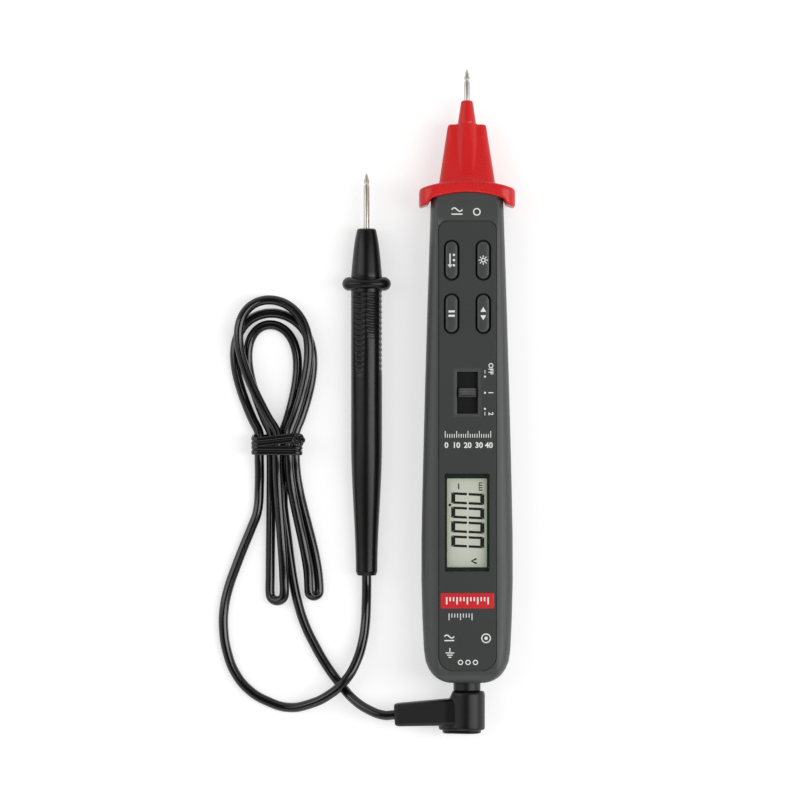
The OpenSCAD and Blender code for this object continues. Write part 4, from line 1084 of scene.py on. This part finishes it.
print("needles")
needleShape = {"radius": 1.05, "root": 0.7, "neck": 0.8, "point": 3.4, "neckLength": 1.2, "end": 0.15,
               "meter": (103.95, 118.95, 129.75), "probe": (-21.9, 19.45, 38.75)}  # root, way out and tip


def needleProfile(root, out, tip):
    r, thin, neck, end = (needleShape[k] for k in ("radius", "root", "neck", "end"))
    shaft = tip - needleShape["point"] - needleShape["neckLength"]
    return [(0, root), (thin, root), (thin, out - 0.3), (r, out - 0.2), (r, shaft - 0.1), (r - 0.04, shaft),
            (neck, shaft + 0.5), (neck, shaft + 1.1), (r - 0.06, shaft + 1.42), (r, shaft + 1.52),
            (r - 0.03, shaft + 1.64), (r * 0.62, tip - 1.45), (end + 0.1, tip - 0.12), (end, tip - 0.02),
            (0, tip)]


probe = {"place": (-35.2, 54.8, 6.2), "grip": 54.0, "handle": 100.0, "radius": 5.45, "tail": 3.8,
         "collar": (8.55, 6.2, 2.45), "start": 0.8, "ribs": 31, "shortRibs": 20, "ribPitch": 1.89,
         "ribBow": 0.7, "ribDepth": 0.72,
         "threeSided": (0.018, 70, 30),  # share of the radius, where it ends and how softly
         "nose": 17.0, "noseFront": 2.9, "noseY": (0.6, 2.3, 2.45, 19.45)}
probePlace = Matrix.Translation(probe["place"]) @ Matrix.Rotation(radians(cordShape["probeTilt"]), 4, "X")
for name, place in (("meter", meterAxis), ("probe", probePlace)):
    needle = turned(bmesh.new(), needleProfile(*needleShape[name]))
    finished(name + "_tip", needle, name + "_needle", place=place, sharp=30)


print("bush and plug")
bush = {"outer": 4.75, "bore": 3.65, "hole": 2.58, "collar": 5.95, "front": -87.55, "collarY": (-82.85, -81.65),
        "floor": -67.85, "back": -66.25}
plug = {"boot": 12.6, "top": -87.85, "bottom": -101.25, "armY": -94.952, "reach": 25.5, "armWidth": (9.8, 7.9),
        "armLevels": ((0, 1), (6, 1), (12, 1), (18, 1), (23.9, 1), (24.9, 0.96), (25.35, 0.88), (25.5, 0.8)),
        "cutX": -4.9, "cutLean": (-3.2, 1.5, 0), "lipReach": 9.9, "lipEnd": 4.6, "voxel": 0.25,
        "lip": ((-99.9, 0.3), (-100.1, 0.0), (-101.2, 0.0), (-101.5, 0.4)),
        "capLevels": ((-101.25, 1.3), (-102.2, 1.3), (-102.6, 1.5), (-102.75, 1.9))}


def bushProfile():
    outer, bore, hole, collar, front, floor, back = (
        bush[k] for k in ("outer", "bore", "hole", "collar", "front", "floor", "back"))
    y0, y1 = bush["collarY"]
    return [(bore, front), (bore + 0.2, front - 0.2), (outer - 0.25, front - 0.2), (outer, front + 0.05),
            (outer, y0), (collar, y0), (collar, y1), (outer, y1), (outer, back), (hole, back), (hole, floor),
            (bore, floor), (bore, front)]


finished("bush_ring", turned(bmesh.new(), bushProfile()), "jack_bush", finish=bushDark, place=meterAxis,
         sharp=30)


def lipBody(levels):
    # oblong plate under boot and arm: each level is a place along Y and how far its edge is drawn in
    rings, end = [], plug["lipEnd"]
    for y, drawn in levels:
        ring = arc(0, nose["axis"], plug["boot"] / 2 - drawn, -90, 90, 20)
        ring += arc(end - plug["lipReach"], nose["axis"], end - drawn, 90, 270, 16)
        rings.append([(x, y, z) for x, z in ring])
    return loft(bmesh.new(), rings)


def bootBody():
    bm, r, top, bottom = bmesh.new(), plug["boot"] / 2, plug["top"], plug["bottom"]
    boot = turned(bmesh.new(), [(0, bottom), (r - 0.5, bottom), (r, bottom + 0.5), (r, top - 1.0),
                                (r - 0.3, top - 0.3), (r - 1.0, top), (0, top)])
    clean(boot)
    cut = bmesh.ops.bisect_plane(boot, geom=boot.verts[:] + boot.edges[:] + boot.faces[:],
                                 plane_co=(plug["cutX"], top, 0), plane_no=Vector(plug["cutLean"]).normalized(),
                                 clear_outer=True)
    bmesh.ops.edgeloop_fill(boot, edges=[e for e in cut["geom_cut"] if isinstance(e, bmesh.types.BMEdge)])
    boot.transform(meterAxis)
    addTo(bm, boot)
    arm, rings = bmesh.new(), []
    for distance, share in plug["armLevels"]:
        half = mix(*plug["armWidth"], distance / plug["reach"]) / 2 * share
        rings.append([(-distance, a, b) for a, b in roundedRing(half, half, half * 0.4, steps=8)])
    loft(arm, rings)
    lean = Matrix.Rotation(radians(cordShape["armLean"]), 4, "Z")
    arm.transform(Matrix.Translation((0, plug["armY"], nose["axis"])) @ lean)
    addTo(bm, arm)
    addTo(bm, lipBody(plug["lip"]))
    return fused("boot", bm, plug["voxel"], 3)


bootPiece = finished("boot_skin", bootBody(), "plug_boot", finish=bootBlack, sharp=70)
capPiece = finished("boot_cap", lipBody(plug["capLevels"]), "plug_cap", sharp=40)


print("probe")


def handleRadius(back):
    # back is the distance behind the finger guard
    if back < probe["grip"]:
        return probe["radius"]
    share = ease(within((back - probe["grip"]) / (probe["handle"] - probe["grip"])))
    return mix(probe["radius"], probe["tail"], share)


def ribDrop(a, back):
    # how far the ribbed sides of the grip are drawn in at this angle; the ribs bow away from the guard
    reach = ease(within((back - 0.8) / 1.5)) * ease(within((probe["ribs"] - back) / 5))
    drop = 0
    for middle, spread, share in ((120, 30 * (1 - 0.6 * within(back / probe["ribs"])), 1.0),
                                  (62, 30, 0.5 * ease(within((probe["shortRibs"] - back) / 9))),
                                  (8, 24, 0.9)):
        off = abs((a - radians(middle) + pi) % (2 * pi) - pi) / radians(spread)
        if off < 1:
            wave = 0.5 + 0.5 * cos(2 * pi * (back + probe["ribBow"] * off * off) / probe["ribPitch"])
            drop += probe["ribDepth"] * share * wave * reach * (1 - off * off)
    return drop


def handleBody():
    rings, steps, sides = [], 400, 72
    share, ends, soft = probe["threeSided"]
    for i in range(steps + 1):
        back = probe["handle"] * i / steps
        end = within((probe["handle"] - back) / 0.6)
        radius = handleRadius(back) - 0.5 * (1 - sqrt(1 - (1 - end) ** 2))
        y = probe["start"] - probe["collar"][2] - back - (0.8 if i == steps else 0)
        ring = []
        for k in range(sides):
            a = 2 * pi * k / sides
            flat = min(0, share * radius * cos(3 * (a - pi / 2)) * within((ends - back) / soft))
            reach = radius - ribDrop(a, back) + flat
            ring.append((reach * cos(a), y, reach * sin(a)))
        rings.append(ring)
    bm = loft(bmesh.new(), rings)
    wide, high, half = probe["collar"]
    collar, stations = bmesh.new(), []
    around = [2 * pi * k / 96 for k in range(96)]
    for i in range(25):
        a = radians(-90 + 7.5 * i)
        y, drawn = half * sin(a), half * (1 - cos(a))
        stations.append([((wide - drawn) * cos(t), y * (0.68 + 0.32 * cos(t) ** 2),
                          (high - drawn * 0.8) * sin(t)) for t in around])
    loft(collar, stations)
    addTo(bm, collar)
    return bm


finished("probe_grip", handleBody(), "probe_handle", place=probePlace, sharp=50)


def noseProfile():
    low, rim, start, top = probe["noseY"]
    points = [(0, low), (5.2, low), (5.4, rim)]
    for i in range(12):
        t = i / 12
        radius = mix(probe["noseFront"], probe["radius"], sqrt(1 - t))
        points.append((radius, start + t * (probe["nose"] - 0.5)))
    return points + [(3.45, top - 0.85), (3.3, top - 0.45), (2.95, top - 0.12), (2.5, top), (0, top)]


finished("probe_nose_skin", turned(bmesh.new(), noseProfile()), "probe_nose", place=probePlace, sharp=50)
